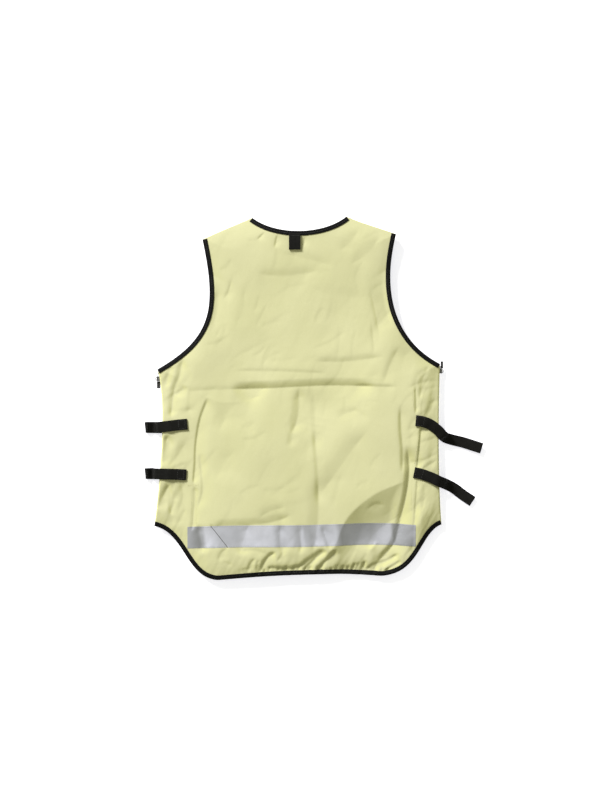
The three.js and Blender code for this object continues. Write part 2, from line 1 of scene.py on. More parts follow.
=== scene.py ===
"""Looks of a running vest that lies on its front, with its back up.

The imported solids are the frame. Finer cloth, tape, webbing and zips take their places.
Sizes are in millimetres from the middle of the vest, and become metres in the frame.
"""

import logging
import math
import random
from collections.abc import Sequence
from dataclasses import dataclass, field
from enum import Enum

import bmesh
import bpy
import numpy as np
from mathutils import Matrix, Vector, noise
from mathutils.bvhtree import BVHTree


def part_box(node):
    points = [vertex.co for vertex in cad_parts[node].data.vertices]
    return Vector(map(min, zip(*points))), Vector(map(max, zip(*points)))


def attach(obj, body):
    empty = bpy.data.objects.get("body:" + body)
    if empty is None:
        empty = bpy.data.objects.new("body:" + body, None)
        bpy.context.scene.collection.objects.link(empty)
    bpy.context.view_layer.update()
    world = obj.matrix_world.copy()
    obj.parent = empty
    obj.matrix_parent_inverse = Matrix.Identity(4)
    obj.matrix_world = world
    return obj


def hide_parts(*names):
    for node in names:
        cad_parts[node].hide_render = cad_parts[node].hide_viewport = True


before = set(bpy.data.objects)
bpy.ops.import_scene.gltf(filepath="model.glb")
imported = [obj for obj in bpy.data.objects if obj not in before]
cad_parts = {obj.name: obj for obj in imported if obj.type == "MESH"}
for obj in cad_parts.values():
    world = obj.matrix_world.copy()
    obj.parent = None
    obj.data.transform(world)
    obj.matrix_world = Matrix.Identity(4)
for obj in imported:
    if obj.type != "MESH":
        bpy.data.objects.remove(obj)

LOG = logging.getLogger("running_vest")
MM = 0.001
BODY = "root"

# Points along a curve of the outline before it is spaced out evenly
CURVE_STEPS = 240

Point = tuple[float, float]
Colour = tuple[float, float, float]


class Side(Enum):
    """The two sides of the vest, as seen with the back up."""

    LEFT = "left"
    RIGHT = "right"

    @property
    def way(self) -> int:
        """The direction outwards along X."""
        return -1 if self is Side.LEFT else 1


class Edge(Enum):
    """The bound edges of a panel, run through with the cloth on the left hand."""

    HEM = "hem"
    NECK = "neck"
    ARMHOLE_LEFT = "armhole_left"
    ARMHOLE_RIGHT = "armhole_right"


class Slot(Enum):
    """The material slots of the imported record."""

    CLOTH = "cloth"
    BINDING = "binding"
    WEBBING = "webbing"
    REFLECTIVE = "reflective"
    ZIP = "zip"
    SLIDER = "slider"


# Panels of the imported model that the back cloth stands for
BACK_NODES = (
    "back_panel",
    "back_side_left",
    "back_side_right",
    "back_yoke",
    "back_shoulder_left",
    "back_shoulder_right",
)

# Corners of the cut cloth, from the hem up
CORNERS = {
    Side.LEFT: ((-267.5, -234.0), (-261.5, 54.0), (-177.0, 294.0), (-86.5, 333.5)),
    Side.RIGHT: ((263.5, -231.0), (260.5, 64.0), (178.0, 304.0), (88.0, 336.0)),
}

# Handles of the side and shoulder curves, which both panels share
SIDE_HANDLES = {
    Side.LEFT: ((-257.0, -150.0), (-244.0, -10.0)),
    Side.RIGHT: ((256.0, -140.0), (258.0, -20.0)),
}
SHOULDER_HANDLES = {
    Side.LEFT: ((-150.0, 307.0), (-113.0, 322.0)),
    Side.RIGHT: ((148.0, 315.0), (112.0, 325.0)),
}

# Rows of a panel along the side, the armhole and the shoulder, before they are made finer
ROW_COUNTS = (14, 12, 4)

# Steps across each panel, and how many rows stand for each one of ROW_COUNTS
BACK_COLUMNS = 264
BACK_FINENESS = 12
FRONT_COLUMNS = 84
FRONT_FINENESS = 4

# Shares of the width at which narrow columns round off the edge of a panel
RIM_SHARES = (0.0, 0.0007, 0.0017, 0.0031, 0.005, 0.0075)

# Heights over the floor
BACK_TOP = 22.5
BACK_LOWEST = 6.5
BACK_SEAM = 10.0
SOLID_WALL = 1.3
FRONT_SIDE_LIFT = 2.7
FRONT_SHOULDER_LIFT = 6.5
FRONT_HEM_LIFT = 1.85

# How far in from an edge the cloth takes to level out
ARMHOLE_RUN = 60.0
HEM_RUN = 60.0
NECK_RUN = 90.0
FRONT_FLAT = 46.0
FRONT_RUN = 64.0

# The strips between the side zips and the pockets, and where they end under the arms
STRIP_LEVEL = 0.52
STRIP_RUN = 4.5
STRIP_SAG = 0.14
STRIP_FALL = (8.0, 62.0)
STRIP_CLIMB = (60.0, 200.0)
STRIP_END = (-110.0, 190.0)

# The right strip, which slopes down to its edge and keeps a share of the height there
SLOPE_LEVEL = 0.5
SLOPE_RUN = 52.0
SLOPE_KEPT = 0.24

# How quickly the cloth rises at its edges
STRIP_POWER = 4.0
SLOPE_POWER = 1.3
EDGE_POWER = 2.0

# Share of the full height that the middle of each open edge keeps
ARMHOLE_OPEN = 0.64
HEM_OPEN = 0.52
NECK_OPEN = 0.9
SHOULDER_OPEN = 0.74

# Share of the depth of the folds that the bound and sewn edges let through
EDGE_HELD = 0.4
EDGE_RUN = 18.0
HEM_HELD = 0.6
HEM_HELD_RUN = 8.0

BINDING_WIDTH = 7.6
CLOTH_WALL = 0.7

# How much steeper the flanks of a crisp fold are at its line than further off
FLANK_POWER = 1.6

# Share of a slope that is round, and not straight
SLOPE_ROUND = 0.3

# Name of the attribute that holds how steep the cloth is
STEEPNESS = "steepness"


def frame_shift() -> Vector:
    """Where the middle of the vest lies in the frame.

    Returns:
        The shift from the vest's own millimetres, in metres.
    """
    boxes = [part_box(node) for node in BACK_NODES]
    left = min(low.x for low, _ in boxes)
    top = max(high.y for _, high in boxes)
    hem_corner = CORNERS[Side.LEFT][0]
    neck_corner = CORNERS[Side.RIGHT][3]
    return Vector((left - hem_corner[0] * MM, top - neck_corner[1] * MM, 0.0))


SHIFT = frame_shift()


def placed(points: np.ndarray) -> np.ndarray:
    """Moves points from the vest's millimetres into the frame.

    Args:
        points: Points in millimetres, with three numbers along the last axis.

    Returns:
        The points in metres.
    """
    return np.asarray(points, float) * MM + np.array(SHIFT)


def eased(share: np.ndarray) -> np.ndarray:
    """Eases shares from 0 to 1, and keeps what lies beyond at 0 or 1."""
    inside = np.clip(share, 0.0, 1.0)
    return inside * inside * (3.0 - 2.0 * inside)


def smoothstep(value: np.ndarray, low: float, high: float) -> np.ndarray:
    """Eases from 0 at low to 1 at high.

    Args:
        value: The numbers to ease.
        low: Where the ease starts.
        high: Where it ends.

    Returns:
        Numbers from 0 to 1.
    """
    return eased((value - low) / (high - low))


def distances(line: np.ndarray) -> np.ndarray:
    """How far along a line each of its points lies."""
    steps = np.linalg.norm(np.diff(line, axis=0), axis=1)
    return np.concatenate([[0.0], np.cumsum(steps)])


def at_shares(line: np.ndarray, shares: np.ndarray) -> np.ndarray:
    """Points of a line at shares of its length.

    Args:
        line: The points of the line.
        shares: Numbers from 0 to 1.

    Returns:
        One point for each share.
    """
    reached = distances(line)
    wanted = np.asarray(shares, float) * reached[-1]
    columns = [np.interp(wanted, reached, line[:, axis]) for axis in range(line.shape[1])]
    return np.stack(columns, axis=-1)


def line_length(line: np.ndarray) -> float:
    """The length of a line through points."""
    return float(np.linalg.norm(np.diff(line, axis=0), axis=1).sum())


def unit_steps(points: np.ndarray) -> np.ndarray:
    """The unit direction of a line at each of its points."""
    ahead = np.gradient(points, axis=0)
    return ahead / np.linalg.norm(ahead, axis=1, keepdims=True)


def spaced(line: np.ndarray, count: int) -> tuple[np.ndarray, np.ndarray]:
    """Even stretches of a line, one for each stitch or tooth.

    Args:
        line: The points of the line.
        count: How many stretches.

    Returns:
        The middle of each stretch, and its heading.
    """
    shares = (np.arange(count) + 0.5) / count
    half = 0.2 / count
    headings = at_shares(line, shares + half) - at_shares(line, shares - half)
    return at_shares(line, shares), headings


def bezier(points: Sequence[Point]) -> np.ndarray:
    """A cubic curve as a fine line.

    Args:
        points: The start, two handles and the end.

    Returns:
        The points of the line.
    """
    start, first, second, end = (np.array(point, float) for point in points)
    t = np.linspace(0.0, 1.0, CURVE_STEPS)[:, None]
    back = 1.0 - t
    return start * back**3 + 3 * first * t * back**2 + 3 * second * t**2 * back + end * t**3


def spline(points: Sequence[Sequence[float]], steps: int) -> np.ndarray:
    """A smooth line through points.

    Args:
        points: The points that the line passes through.
        steps: Steps between two of them.

    Returns:
        The points of the line.
    """
    knots = np.array(points, float)
    ends = np.vstack([knots[:1], knots, knots[-1:]])
    t = np.linspace(0.0, 1.0, steps, endpoint=False)[:, None]
    parts = []
    for index in range(len(knots) - 1):
        before, start, end, after = ends[index : index + 4]
        turn = (end - before) * t + (2 * before - 5 * start + 4 * end - after) * t**2
        parts.append(start + 0.5 * (turn + (3 * start - before - 3 * end + after) * t**3))
    return np.vstack([*parts, knots[-1:]])


@dataclass(frozen=True)
class Cut:
    """The outline of a panel, as handles of its edge curves from the hem up and from left to right."""

    armhole: dict[Side, Sequence[Point]]
    neck: Sequence[Point]
    turn: dict[Side, Sequence[Point]]
    tail: Sequence[Point]

    def flank(self, side: Side) -> list[np.ndarray]:
        """The side, armhole and shoulder of one side.

        Args:
            side: Which side of the panel.

        Returns:
            Three lines, from the hem up.
        """
        hem, underarm, shoulder, neck = CORNERS[side]
        return [
            bezier((hem, *SIDE_HANDLES[side], underarm)),
            bezier((underarm, *self.armhole[side], shoulder)),
            bezier((shoulder, *SHOULDER_HANDLES[side], neck)),
        ]

    def hem(self) -> np.ndarray:
        """The hem from its left corner to its right corner."""
        left = bezier((CORNERS[Side.LEFT][0], *self.turn[Side.LEFT], self.tail[0]))
        outer, inner = self.turn[Side.RIGHT]
        right = bezier((self.tail[-1], inner, outer, CORNERS[Side.RIGHT][0]))
        return np.vstack([left, spline(self.tail, CURVE_STEPS // 3)[1:], right[1:]])

    def neckline(self) -> np.ndarray:
        """The neck from its left corner to its right corner."""
        return bezier((CORNERS[Side.LEFT][3], *self.neck, CORNERS[Side.RIGHT][3]))


BACK_CUT = Cut(
    armhole={
        Side.LEFT: ((-160.0, 112.0), (-150.0, 164.0)),
        Side.RIGHT: ((179.0, 106.0), (150.0, 190.0)),
    },
    neck=((-44.0, 300.0), (44.0, 300.0)),
    turn={
        Side.LEFT: ((-210.0, -246.0), (-210.0, -329.0)),
        Side.RIGHT: ((223.0, -246.0), (224.0, -321.0)),
    },
    tail=((-150.0, -333.5), (-54.0, -326.0), (65.0, -322.5), (153.0, -326.0)),
)
FRONT_CUT = Cut(
    armhole={
        Side.LEFT: ((-148.0, 106.0), (-132.0, 168.0)),
        Side.RIGHT: ((164.0, 98.0), (132.0, 190.0)),
    },
    neck=((-78.0, 208.0), (78.0, 208.0)),
    turn={
        Side.LEFT: ((-200.0, -240.0), (-204.0, -312.0)),
        Side.RIGHT: ((206.0, -238.0), (214.0, -306.0)),
    },
    tail=((-145.0, -316.0), (-54.0, -312.0), (65.0, -310.0), (148.0, -312.0)),
)


class Net:
    """The points of a panel in plan, worked out between its four edges."""

    def __init__(self, cut: Cut, columns: int, fineness: int) -> None:
        """Spaces the points out.

        Args:
            cut: The outline of the panel.
            columns: Steps across.
            fineness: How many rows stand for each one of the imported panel.
        """
        counts = np.array(ROW_COUNTS) * fineness
        self.rows = int(counts.sum())
        self.underarm = int(counts[0])
        self.shoulder = int(counts[0] + counts[1])
        row = np.arange(self.rows + 1)
        self.part = np.where(row <= self.underarm, 0, np.where(row <= self.shoulder, 1, 2))
        starts = np.array([0, self.underarm, self.shoulder])[self.part]
        self.along = (row - starts) / counts[self.part]
        rim = np.array(RIM_SHARES)
        inner = np.linspace(rim[-1], 1.0 - rim[-1], columns + 1 - 2 * (len(rim) - 1))
        across = np.concatenate([rim[:-1], inner, 1.0 - rim[-2::-1]])
        left = self._flank_points(cut, Side.LEFT)[:, None, :]
        right = self._flank_points(cut, Side.RIGHT)[:, None, :]
        hem = at_shares(cut.hem(), across)[None]
        neck = at_shares(cut.neckline(), across)[None]
        share = across[None, :, None]
        up = (row / self.rows)[:, None, None]
        hem_bow = hem - (hem[:, :1] * (1 - share) + hem[:, -1:] * share)
        neck_bow = neck - (neck[:, :1] * (1 - share) + neck[:, -1:] * share)
        plan = left * (1 - share) + right * share + hem_bow * (1 - up) + neck_bow * up
        self.x = plan[..., 0]
        self.y = plan[..., 1]
        self.across = np.broadcast_to(across[None], self.x.shape)
        to_left = np.linalg.norm(plan - left, axis=-1)
        to_right = np.linalg.norm(plan - right, axis=-1)
        self.insets = {Side.LEFT: to_left, Side.RIGHT: to_right}
        self.side_inset = np.minimum(to_left, to_right)
        self.hem_inset = np.linalg.norm(plan - hem, axis=-1)
        self.neck_inset = np.linalg.norm(plan - neck, axis=-1)

    def _flank_points(self, cut: Cut, side: Side) -> np.ndarray:
        """The end points of the rows on one side.

        Args:
            cut: The outline of the panel.
            side: Which side.

        Returns:
            One point for each row.
        """
        found = np.zeros((self.rows + 1, 2))
        for part, line in enumerate(cut.flank(side)):
            here = self.part == part
            found[here] = at_shares(line, self.along[here])
        return found

    def area(self) -> float:
        """The area of the cut cloth, in square millimetres."""
        ring = np.concatenate(
            [
                np.stack([self.x[0], self.y[0]], axis=-1),
                np.stack([self.x[1:, -1], self.y[1:, -1]], axis=-1),
                np.stack([self.x[-1, ::-1], self.y[-1, ::-1]], axis=-1),
                np.stack([self.x[::-1, 0], self.y[::-1, 0]], axis=-1),
            ]
        )
        after = np.roll(ring, -1, axis=0)
        return float(abs((ring[:, 0] * after[:, 1] - after[:, 0] * ring[:, 1]).sum()) / 2)

    def span(self) -> tuple[float, float]:
        """The width and length of the cut cloth, in millimetres."""
        return float(np.ptp(self.x)), float(np.ptp(self.y))

    def edge(self, edge: Edge, values: np.ndarray) -> np.ndarray:
        """Values of the net along one bound edge.

        Args:
            edge: Which edge.
            values: An array of the net, such as its heights.

        Returns:
            The values in the order that the edge is run through.
        """
        rows = slice(self.underarm, self.shoulder + 1)
        if edge is Edge.HEM:
            return values[0]
        if edge is Edge.NECK:
            return values[-1, ::-1]
        if edge is Edge.ARMHOLE_RIGHT:
            return values[rows, -1]
        return values[rows, 0][::-1]


@dataclass(frozen=True)
class Fold:
    """A valley of the cloth along a line.

    A path runs to the right or up, so that its left flank is the upper one, which lies in shade.
    A crisp fold has a sharp line at its bottom, and a soft one is round.
    """

    name: str
    path: Sequence[Point]
    depth: float
    upper: float
    lower: float
    crisp: float = 0.3
    fade: float = 20.0

    def profile(self, aside: np.ndarray) -> np.ndarray:
        """The share of the depth beside the line.

        Args:
            aside: Distances from the line, positive on its upper flank.

        Returns:
            Shares from 0 to 1.
        """
        share = np.abs(aside) / np.where(aside > 0, self.upper, self.lower)
        facet = np.clip(1 - share, 0.0, 1.0) ** FLANK_POWER
        return (1 - self.crisp) * np.exp(-(share**2)) + self.crisp * facet

    def drop(self, x: np.ndarray, y: np.ndarray) -> np.ndarray:
        """How far the fold lowers the cloth.

        Args:
            x: Places across the vest.
            y: Places along the vest.

        Returns:
            The depth at each place.
        """
        line = spline(self.path, 5) if len(self.path) > 2 else np.array(self.path, float)
        nearest = np.full(x.shape, np.inf)
        aside = np.zeros(x.shape)
        along = np.zeros(x.shape)
        reached = 0.0
        for start, end in zip(line[:-1], line[1:]):
            run = end - start
            length = float(np.hypot(*run))
            heading = run / length
            off_x = x - start[0]
            off_y = y - start[1]
            ahead = np.clip(off_x * heading[0] + off_y * heading[1], 0.0, length)
            gap = np.hypot(off_x - ahead * heading[0], off_y - ahead * heading[1])
            closer = gap < nearest
            side = np.where(heading[0] * off_y - heading[1] * off_x > 0, 1.0, -1.0)
            nearest = np.where(closer, gap, nearest)
            aside = np.where(closer, gap * side, aside)
            along = np.where(closer, reached + ahead, along)
            reached += length
        taper = self.fade + 0.9 * nearest
        ends = eased(along / taper) * eased((reached - along) / taper)
        return self.depth * self.profile(aside) * ends


@dataclass(frozen=True)
class Slope(Fold):
    """A sharp ridge along a line, with a hollow on its lower flank that rises again further off.

    The hollow falls over the upper width and rises again over the lower width.
    """

    def profile(self, aside: np.ndarray) -> np.ndarray:
        """The share of the depth beside the line.

        Args:
            aside: Distances from the line, positive on its upper flank.

        Returns:
            Shares from 0 to 1.
        """
        down = np.clip(-aside / self.upper, 0.0, 1.0)
        rise = np.clip((-aside - self.upper) / self.lower, 0.0, 1.0)
        fall = SLOPE_ROUND * np.sin(math.pi / 2 * down) + (1 - SLOPE_ROUND) * down
        return fall * (0.5 + 0.5 * np.cos(math.pi * rise))


# Folds of the yoke, the neck and the armholes
UPPER_FOLDS = (
    Fold("crease left of the loop", ((-45, 276), (-39, 306)), 1.1, 4, 22, 0.8, 12),
    Fold("crease by the neck", ((-78, 292), (-62, 308)), 0.9, 4, 16, 0.7, 9),
    Fold("crease right of the loop", ((5, 276), (13, 304)), 0.85, 4, 22, 0.8, 12),
    Fold("yoke band", ((-84, 232), (-26, 227), (44, 238)), 1.6, 15, 110, 0.6, 34),
    Fold("yoke slant", ((-36, 270), (11, 259), (68, 244)), 1.3, 13, 80, 0.4, 30),
    Fold("upper right patch", ((10, 218), (57, 191), (140, 188)), 1.2, 20, 260, 0.3, 44),
    Fold("upper middle patch", ((28, 92), (66, 140), (70, 194)), 0.9, 22, 300, 0.3, 40),
    Fold("right shoulder", ((92, 246), (128, 270), (152, 306)), 1.6, 18, 50, 0.3, 26),
    Fold("right shoulder, second", ((70, 270), (96, 290), (112, 318)), 1.2, 14, 40, 0.3, 20),
    Fold("left armhole crease", ((-141, 180), (-130, 198), (-123, 222)), 0.8, 5, 30, 0.6, 16),
    Fold("right armhole line", ((139, 76), (137, 109), (133, 150)), 0.9, 5, 34, 0.6, 26),
    Fold("right armhole upper line", ((150, 108), (142, 155), (130, 208)), 1.0, 6, 36, 0.6, 32),
    Fold("right underarm fold", ((155, 24), (169, 66), (188, 101)), 1.4, 9, 60, 0.6, 24),
    Fold("right chest", ((118, 36), (170, 58), (214, 98)), 1.8, 44, 140, 0.1, 30),
    Fold("band over the crease", ((24, 70), (85, 69), (160, 79)), 1.8, 11, 80, 0.6, 30),
    Fold("line over the crease", ((-124, 52), (-35, 51), (56, 47)), 0.9, 6, 50, 0.6, 30),
    Fold("sag of the upper back", ((-190, 166), (0, 160), (190, 168)), 4.4, 110, 420, 0.0, 20),
)

# Folds of the middle of the back
MIDDLE_FOLDS = (
    Fold("crease across", ((-128, 18), (-54, 20), (2, 23), (57, 25), (148, 24)), 4.0, 15, 140, 0.9, 36),
    Fold("crease across, left band", ((-128, 19), (-92, 19), (-50, 20)), 1.6, 15, 60, 0.4, 20),
    Fold("crease across, right end", ((96, 24), (186, 22)), 1.3, 6, 40, 0.7, 24),
    Fold("crease across, left end", ((-218, 14), (-104, 19)), 0.9, 8, 50, 0.5, 30),
    Fold("soft slant", ((-150, -66), (-128, -20), (-104, -6), (-58, 11)), 2.2, 24, 110, 0.3, 34),
    Fold("upper middle crease", ((-14, -66), (-2, -31), (0, 24)), 3.0, 15, 140, 0.8, 20),
    Fold("upper middle crease, end", ((-16, -92), (-11, -46)), 0.9, 7, 40, 0.5, 16),
    Fold("second middle line", ((31, -96), (29, -30), (26, 20)), 1.1, 9, 110, 0.7, 24),
    Fold("middle crease, lower", ((24, -296), (34, -231), (36, -187), (34, -140)), 3.4, 23, 160, 0.8, 36),
    Fold("middle crease, upper", ((36, -200), (35, -160), (34, -131), (28, -56)), 1.5, 8, 130, 0.8, 26),
    Fold("soft band left of the middle", ((12, -118), (18, -74), (16, -30)), 1.4, 26, 60, 0.2, 30),
    Fold(
        "slant right of the middle",
        ((38, -178), (72, -131), (98, -94), (130, -54)),
        2.7,
        24,
        120,
        0.4,
        40,
    ),
    Fold("line by the middle", ((70, -32), (104, -22), (132, -42)), 0.8, 8, 50, 0.5, 20),
    Fold("soft left patch", ((-156, -156), (-138, -118), (-112, -92)), 1.0, 18, 70, 0.2, 26),
    Slope(
        "ridge over the hollow",
        (
            (30, -352),
            (53, -298),
            (70, -263),
            (81, -233),
            (98, -209),
            (124, -186),
            (154, -168),
            (200, -150),
        ),
        13.2,
        58,
        90,
        0.0,
        20,
    ),
    Slope(
        "hollow, low end",
        ((50, -300), (70, -263), (81, -233), (98, -209), (126, -184)),
        3.0,
        36,
        60,
        0.0,
        26,
    ),
    Fold("dent in the hollow", ((124, -206), (140, -194), (160, -197)), 0.9, 6, 20, 0.6, 12),
    Fold(
        "fold over the tape",
        ((-166, -236), (-109, -233), (-60, -229), (-30, -221), (-12, -212)),
        2.8,
        14,
        70,
        0.7,
        24,
    ),
    Fold("step over the tape", ((-76, -222), (-56, -208), (-22, -198)), 1.2, 11, 40, 0.6, 16),
)

# Folds and seams along the two pockets
POCKET_FOLDS = (
    Fold(
        "right pocket fold",
        (
            (136, -310),
            (165, -281),
            (178, -261),
            (187, -224),
            (196, -187),
            (202, -148),
            (203, -117),
            (198, -84),
        ),
        6.4,
        10,
        64,
        0.7,
        30,
    ),
    Fold("right pocket mouth", ((190, -140), (191, -94), (188, -57), (187, -8)), 2.4, 6, 36, 0.7, 26),
    Fold("right seam, lower", ((212, -238), (219, -144)), 1.2, 3.4, 14, 0.7, 10),
    Fold("right seam, middle", ((218, -132), (226, -48)), 2.4, 4, 16, 0.7, 10),
    Fold("right seam, upper", ((216, -30), (215, 24)), 2.0, 4, 16, 0.7, 12),
    Fold(
        "left pocket mouth",
        ((-195, -160), (-192, -122), (-190, -81), (-182, -35), (-167, 4)),
        2.0,
        3.2,
        24,
        0.8,
        14,
    ),
    Fold("left pocket lip", ((-188, -206), (-179, -176), (-178, -154), (-184, -100)), 1.1, 4, 22, 0.6, 20),
    Fold("left seam", ((-198, -244), (-193, -196), (-192, -161)), 1.5, 6, 12, 0.6, 8),
)

# Folds of the crinkled side strips
SIDE_FOLDS = (
    Fold(
        "left side, upper",
        ((-237, -38), (-233, 0), (-229, 22), (-221, 42), (-214, 78)),
        3.0,
        11,
        26,
        0.7,
        18,
    ),
    Fold("left side, edge", ((-252, -26), (-250, 8), (-254, 40)), 1.2, 7, 14, 0.6, 14),
    Fold("left side, middle", ((-256, -126), (-248, -92), (-243, -64)), 3.6, 12, 22, 0.6, 10),
    Fold("left slant, middle", ((-242, -128), (-206, -78)), 1.4, 10, 26, 0.5, 18),
    Fold("left slant, strap", ((-236, -130), (-208, -119)), 0.8, 6, 14, 0.6, 8),
    Fold("left side, lower", ((-264, -208), (-249, -175), (-237, -154)), 2.9, 11, 22, 0.6, 12),
    Fold("left slant, lower", ((-236, -194), (-208, -152)), 1.0, 9, 22, 0.5, 14),
    Fold("left nick", ((-238, -216), (-229, -186)), 0.9, 6, 16, 0.6, 9),
    Fold("left by the hem", ((-226, -236), (-208, -200)), 1.1, 8, 20, 0.5, 12),
    Fold("left under the arm", ((-250, 20), (-240, 44), (-238, 66)), 1.2, 8, 16, 0.5, 10),
    Fold("right side, upper", ((223, -4), (228, 35), (240, 64)), 1.2, 8, 20, 0.6, 12),
    Fold("right side, edge", ((255, -18), (251, 20), (254, 58)), 0.9, 9, 14, 0.5, 14),
    Fold("right side, short", ((230, -34), (242, -12), (247, 18)), 0.9, 8, 18, 0.6, 12),
    Fold("right over a strap", ((226, -131), (256, -112)), 1.3, 7, 14, 0.6, 8),
    Fold("right side, middle", ((238, -114), (252, -88), (257, -62)), 0.8, 9, 16, 0.5, 12),
    Fold("right side, lower", ((227, -206), (232, -180), (230, -154)), 0.9, 8, 16, 0.5, 10),
    Fold("right side, low edge", ((253, -224), (260, -192), (255, -164)), 0.9, 9, 14, 0.5, 12),
)

# Folds of the reflective tape and the hem under it
HEM_FOLDS = (
    Fold("tape crease", ((-130, -276), (-164, -231)), 1.0, 4, 4, 0.7, 4),
    Fold("tape, left end", ((-177, -288), (-186, -230)), 2.6, 14, 50, 0.7, 14),
    Fold("tape, left", ((-112, -290), (-92, -229)), 2.4, 24, 60, 0.6, 14),
    Fold("tape, left of the middle", ((-29, -290), (-35, -261), (-33, -230)), 2.2, 9, 40, 0.7, 12),
    Fold("tape, middle", ((3, -288), (4, -229)), 2.2, 14, 18, 0.7, 14),
    Fold("tape, right of the middle", ((58, -282), (41, -232)), 2.0, 5, 22, 0.7, 12),
    Fold("tape, right end", ((210, -290), (212, -229)), 2.2, 22, 16, 0.6, 14),
    Fold("hem, far left", ((-148, -302), (-146, -290), (-140, -281), (-130, -275)), 1.2, 5, 20, 0.7, 10),
    Fold("hem, far left dent", ((-141, -300), (-122, -307)), 0.6, 4, 9, 0.6, 6),
    Fold("hem, left arc", ((-112, -282), (-82, -279), (-55, -288)), 0.9, 5, 16, 0.6, 14),
    Fold("hem gather, first", ((-94, -320), (-89, -304), (-80, -293)), 1.4, 4, 9, 0.8, 6),
    Fold("hem gather, second", ((-80, -320), (-77, -305), (-73, -295)), 1.3, 4, 8, 0.8, 6),
    Fold("hem, left", ((-74, -324), (-65, -303), (-55, -290), (-42, -282)), 3.2, 7, 24, 0.9, 8),
    Fold("hem, left, beside", ((-41, -301), (-33, -290), (-28, -280)), 1.1, 4, 12, 0.7, 7),
    Fold(
        "hem, middle",
        ((-60, -311), (-26, -314), (2, -309), (20, -296), (36, -284), (50, -276)),
        3.4,
        8,
        20,
        0.7,
        12,
    ),
    Fold("hem, middle, beside", ((6, -318), (22, -303), (35, -290), (52, -279)), 2.6, 5, 14, 0.7, 8),
    Fold("hem, right of the middle", ((32, -322), (46, -303), (57, -292), (70, -277)), 4.8, 8, 16, 0.7, 9),
    Fold("rise right of the hollow", ((96, -336), (112, -298), (150, -262)), -5.5, 26, 60, 0.3, 26),
    Fold("hem, right, long", ((122, -318), (140, -306), (161, -300), (185, -286)), 2.8, 5, 15, 0.7, 10),
    Fold("hem, right, low", ((158, -319), (174, -309), (190, -299)), 2.2, 5, 9, 0.7, 7),
)


@dataclass(frozen=True)
class Pleats:
    """The narrow pleats that the elastic of the hem draws the cloth into."""

    start: float = -108.0
    end: float = 176.0
    spacing: float = 7.4
    depth: float = 1.5
    deepest: Point = (70.0, 134.0)
    length: float = 15.0
    lean: float = 9.0
    level: float = -322.0
    root: float = 8.0
    strong_length: float = 1.4
    strong_depth: float = 2.1
    widths: tuple[float, float] = (3.0, 5.0)
    crisp: float = 0.6
    fade: float = 6.0
    seed: int = 7

    def folds(self) -> list[Fold]:
        """One fold for each pleat, uneven in place, length and depth."""
        chance = random.Random(self.seed)
        found = []
        count = round((self.end - self.start) / self.spacing)
        for index in range(count):
            x = self.start + self.spacing * (index + chance.uniform(-0.4, 0.4))
            strong = self.deepest[0] < x < self.deepest[1]
            length = self.length * chance.uniform(0.6, 1.3) * (self.strong_length if strong else 1.0)
            lean = self.lean * (1.5 * index / count + chance.uniform(-0.2, 0.5))
            depth = self.depth * chance.uniform(0.5, 1.3) * (self.strong_depth if strong else 1.0)
            path = ((x, self.level - self.root), (x + lean, self.level + length))
            found.append(Fold(f"pleat {index}", path, depth, *self.widths, self.crisp, self.fade))
        return found


@dataclass(frozen=True)
class Creases:
    """The short faint creases that packing leaves all over the cloth, more of them at the sides."""

    middle_count: int = 110
    side_count: int = 46
    depth: float = 0.26
    side_depth: float = 0.65
    width: float = 6.0
    length: tuple[float, float] = (26.0, 80.0)
    heading: tuple[float, float] = (5.0, 95.0)
    middle_x: tuple[float, float] = (-215.0, 205.0)
    middle_y: tuple[float, float] = (-300.0, 300.0)
    side_x: tuple[float, float] = (212.0, 258.0)
    side_y: tuple[float, float] = (-225.0, 50.0)
    seed: int = 21

    def folds(self) -> list[Fold]:
        """One fold for each crease, at uneven places and headings."""
        chance = random.Random(self.seed)
        found = []
        for index in range(self.middle_count):
            place = (chance.uniform(*self.middle_x), chance.uniform(*self.middle_y))
            found.append(self._crease(chance, place, self.depth, f"crease {index}"))
        for index in range(self.side_count):
            side = chance.choice((-1, 1))
            place = (side * chance.uniform(*self.side_x), chance.uniform(*self.side_y))
            found.append(self._crease(chance, place, self.side_depth, f"side crease {index}"))
        return found

    def _crease(self, chance: random.Random, place: Point, depth: float, name: str) -> Fold:
        """A bent crease about a place.

        Args:
            chance: The source of unevenness.
            place: The middle of the crease.
            depth: Its usual depth.
            name: Its name.

        Returns:
            The crease.
        """
        heading = math.radians(chance.uniform(*self.heading))
        half = chance.uniform(*self.length) / 2
        bend = half * chance.uniform(-0.35, 0.35)
        ahead = (half * math.cos(heading), half * math.sin(heading))
        start = (place[0] - ahead[0], place[1] - ahead[1])
        middle = (place[0] - bend * math.sin(heading), place[1] + bend * math.cos(heading))
        end = (place[0] + ahead[0], place[1] + ahead[1])
        width = self.width * chance.uniform(0.7, 1.5)
        deep = depth * chance.uniform(0.4, 1.5)
        return Fold(name, (start, middle, end), deep, width, 4 * width, 0.7, 0.5 * half)


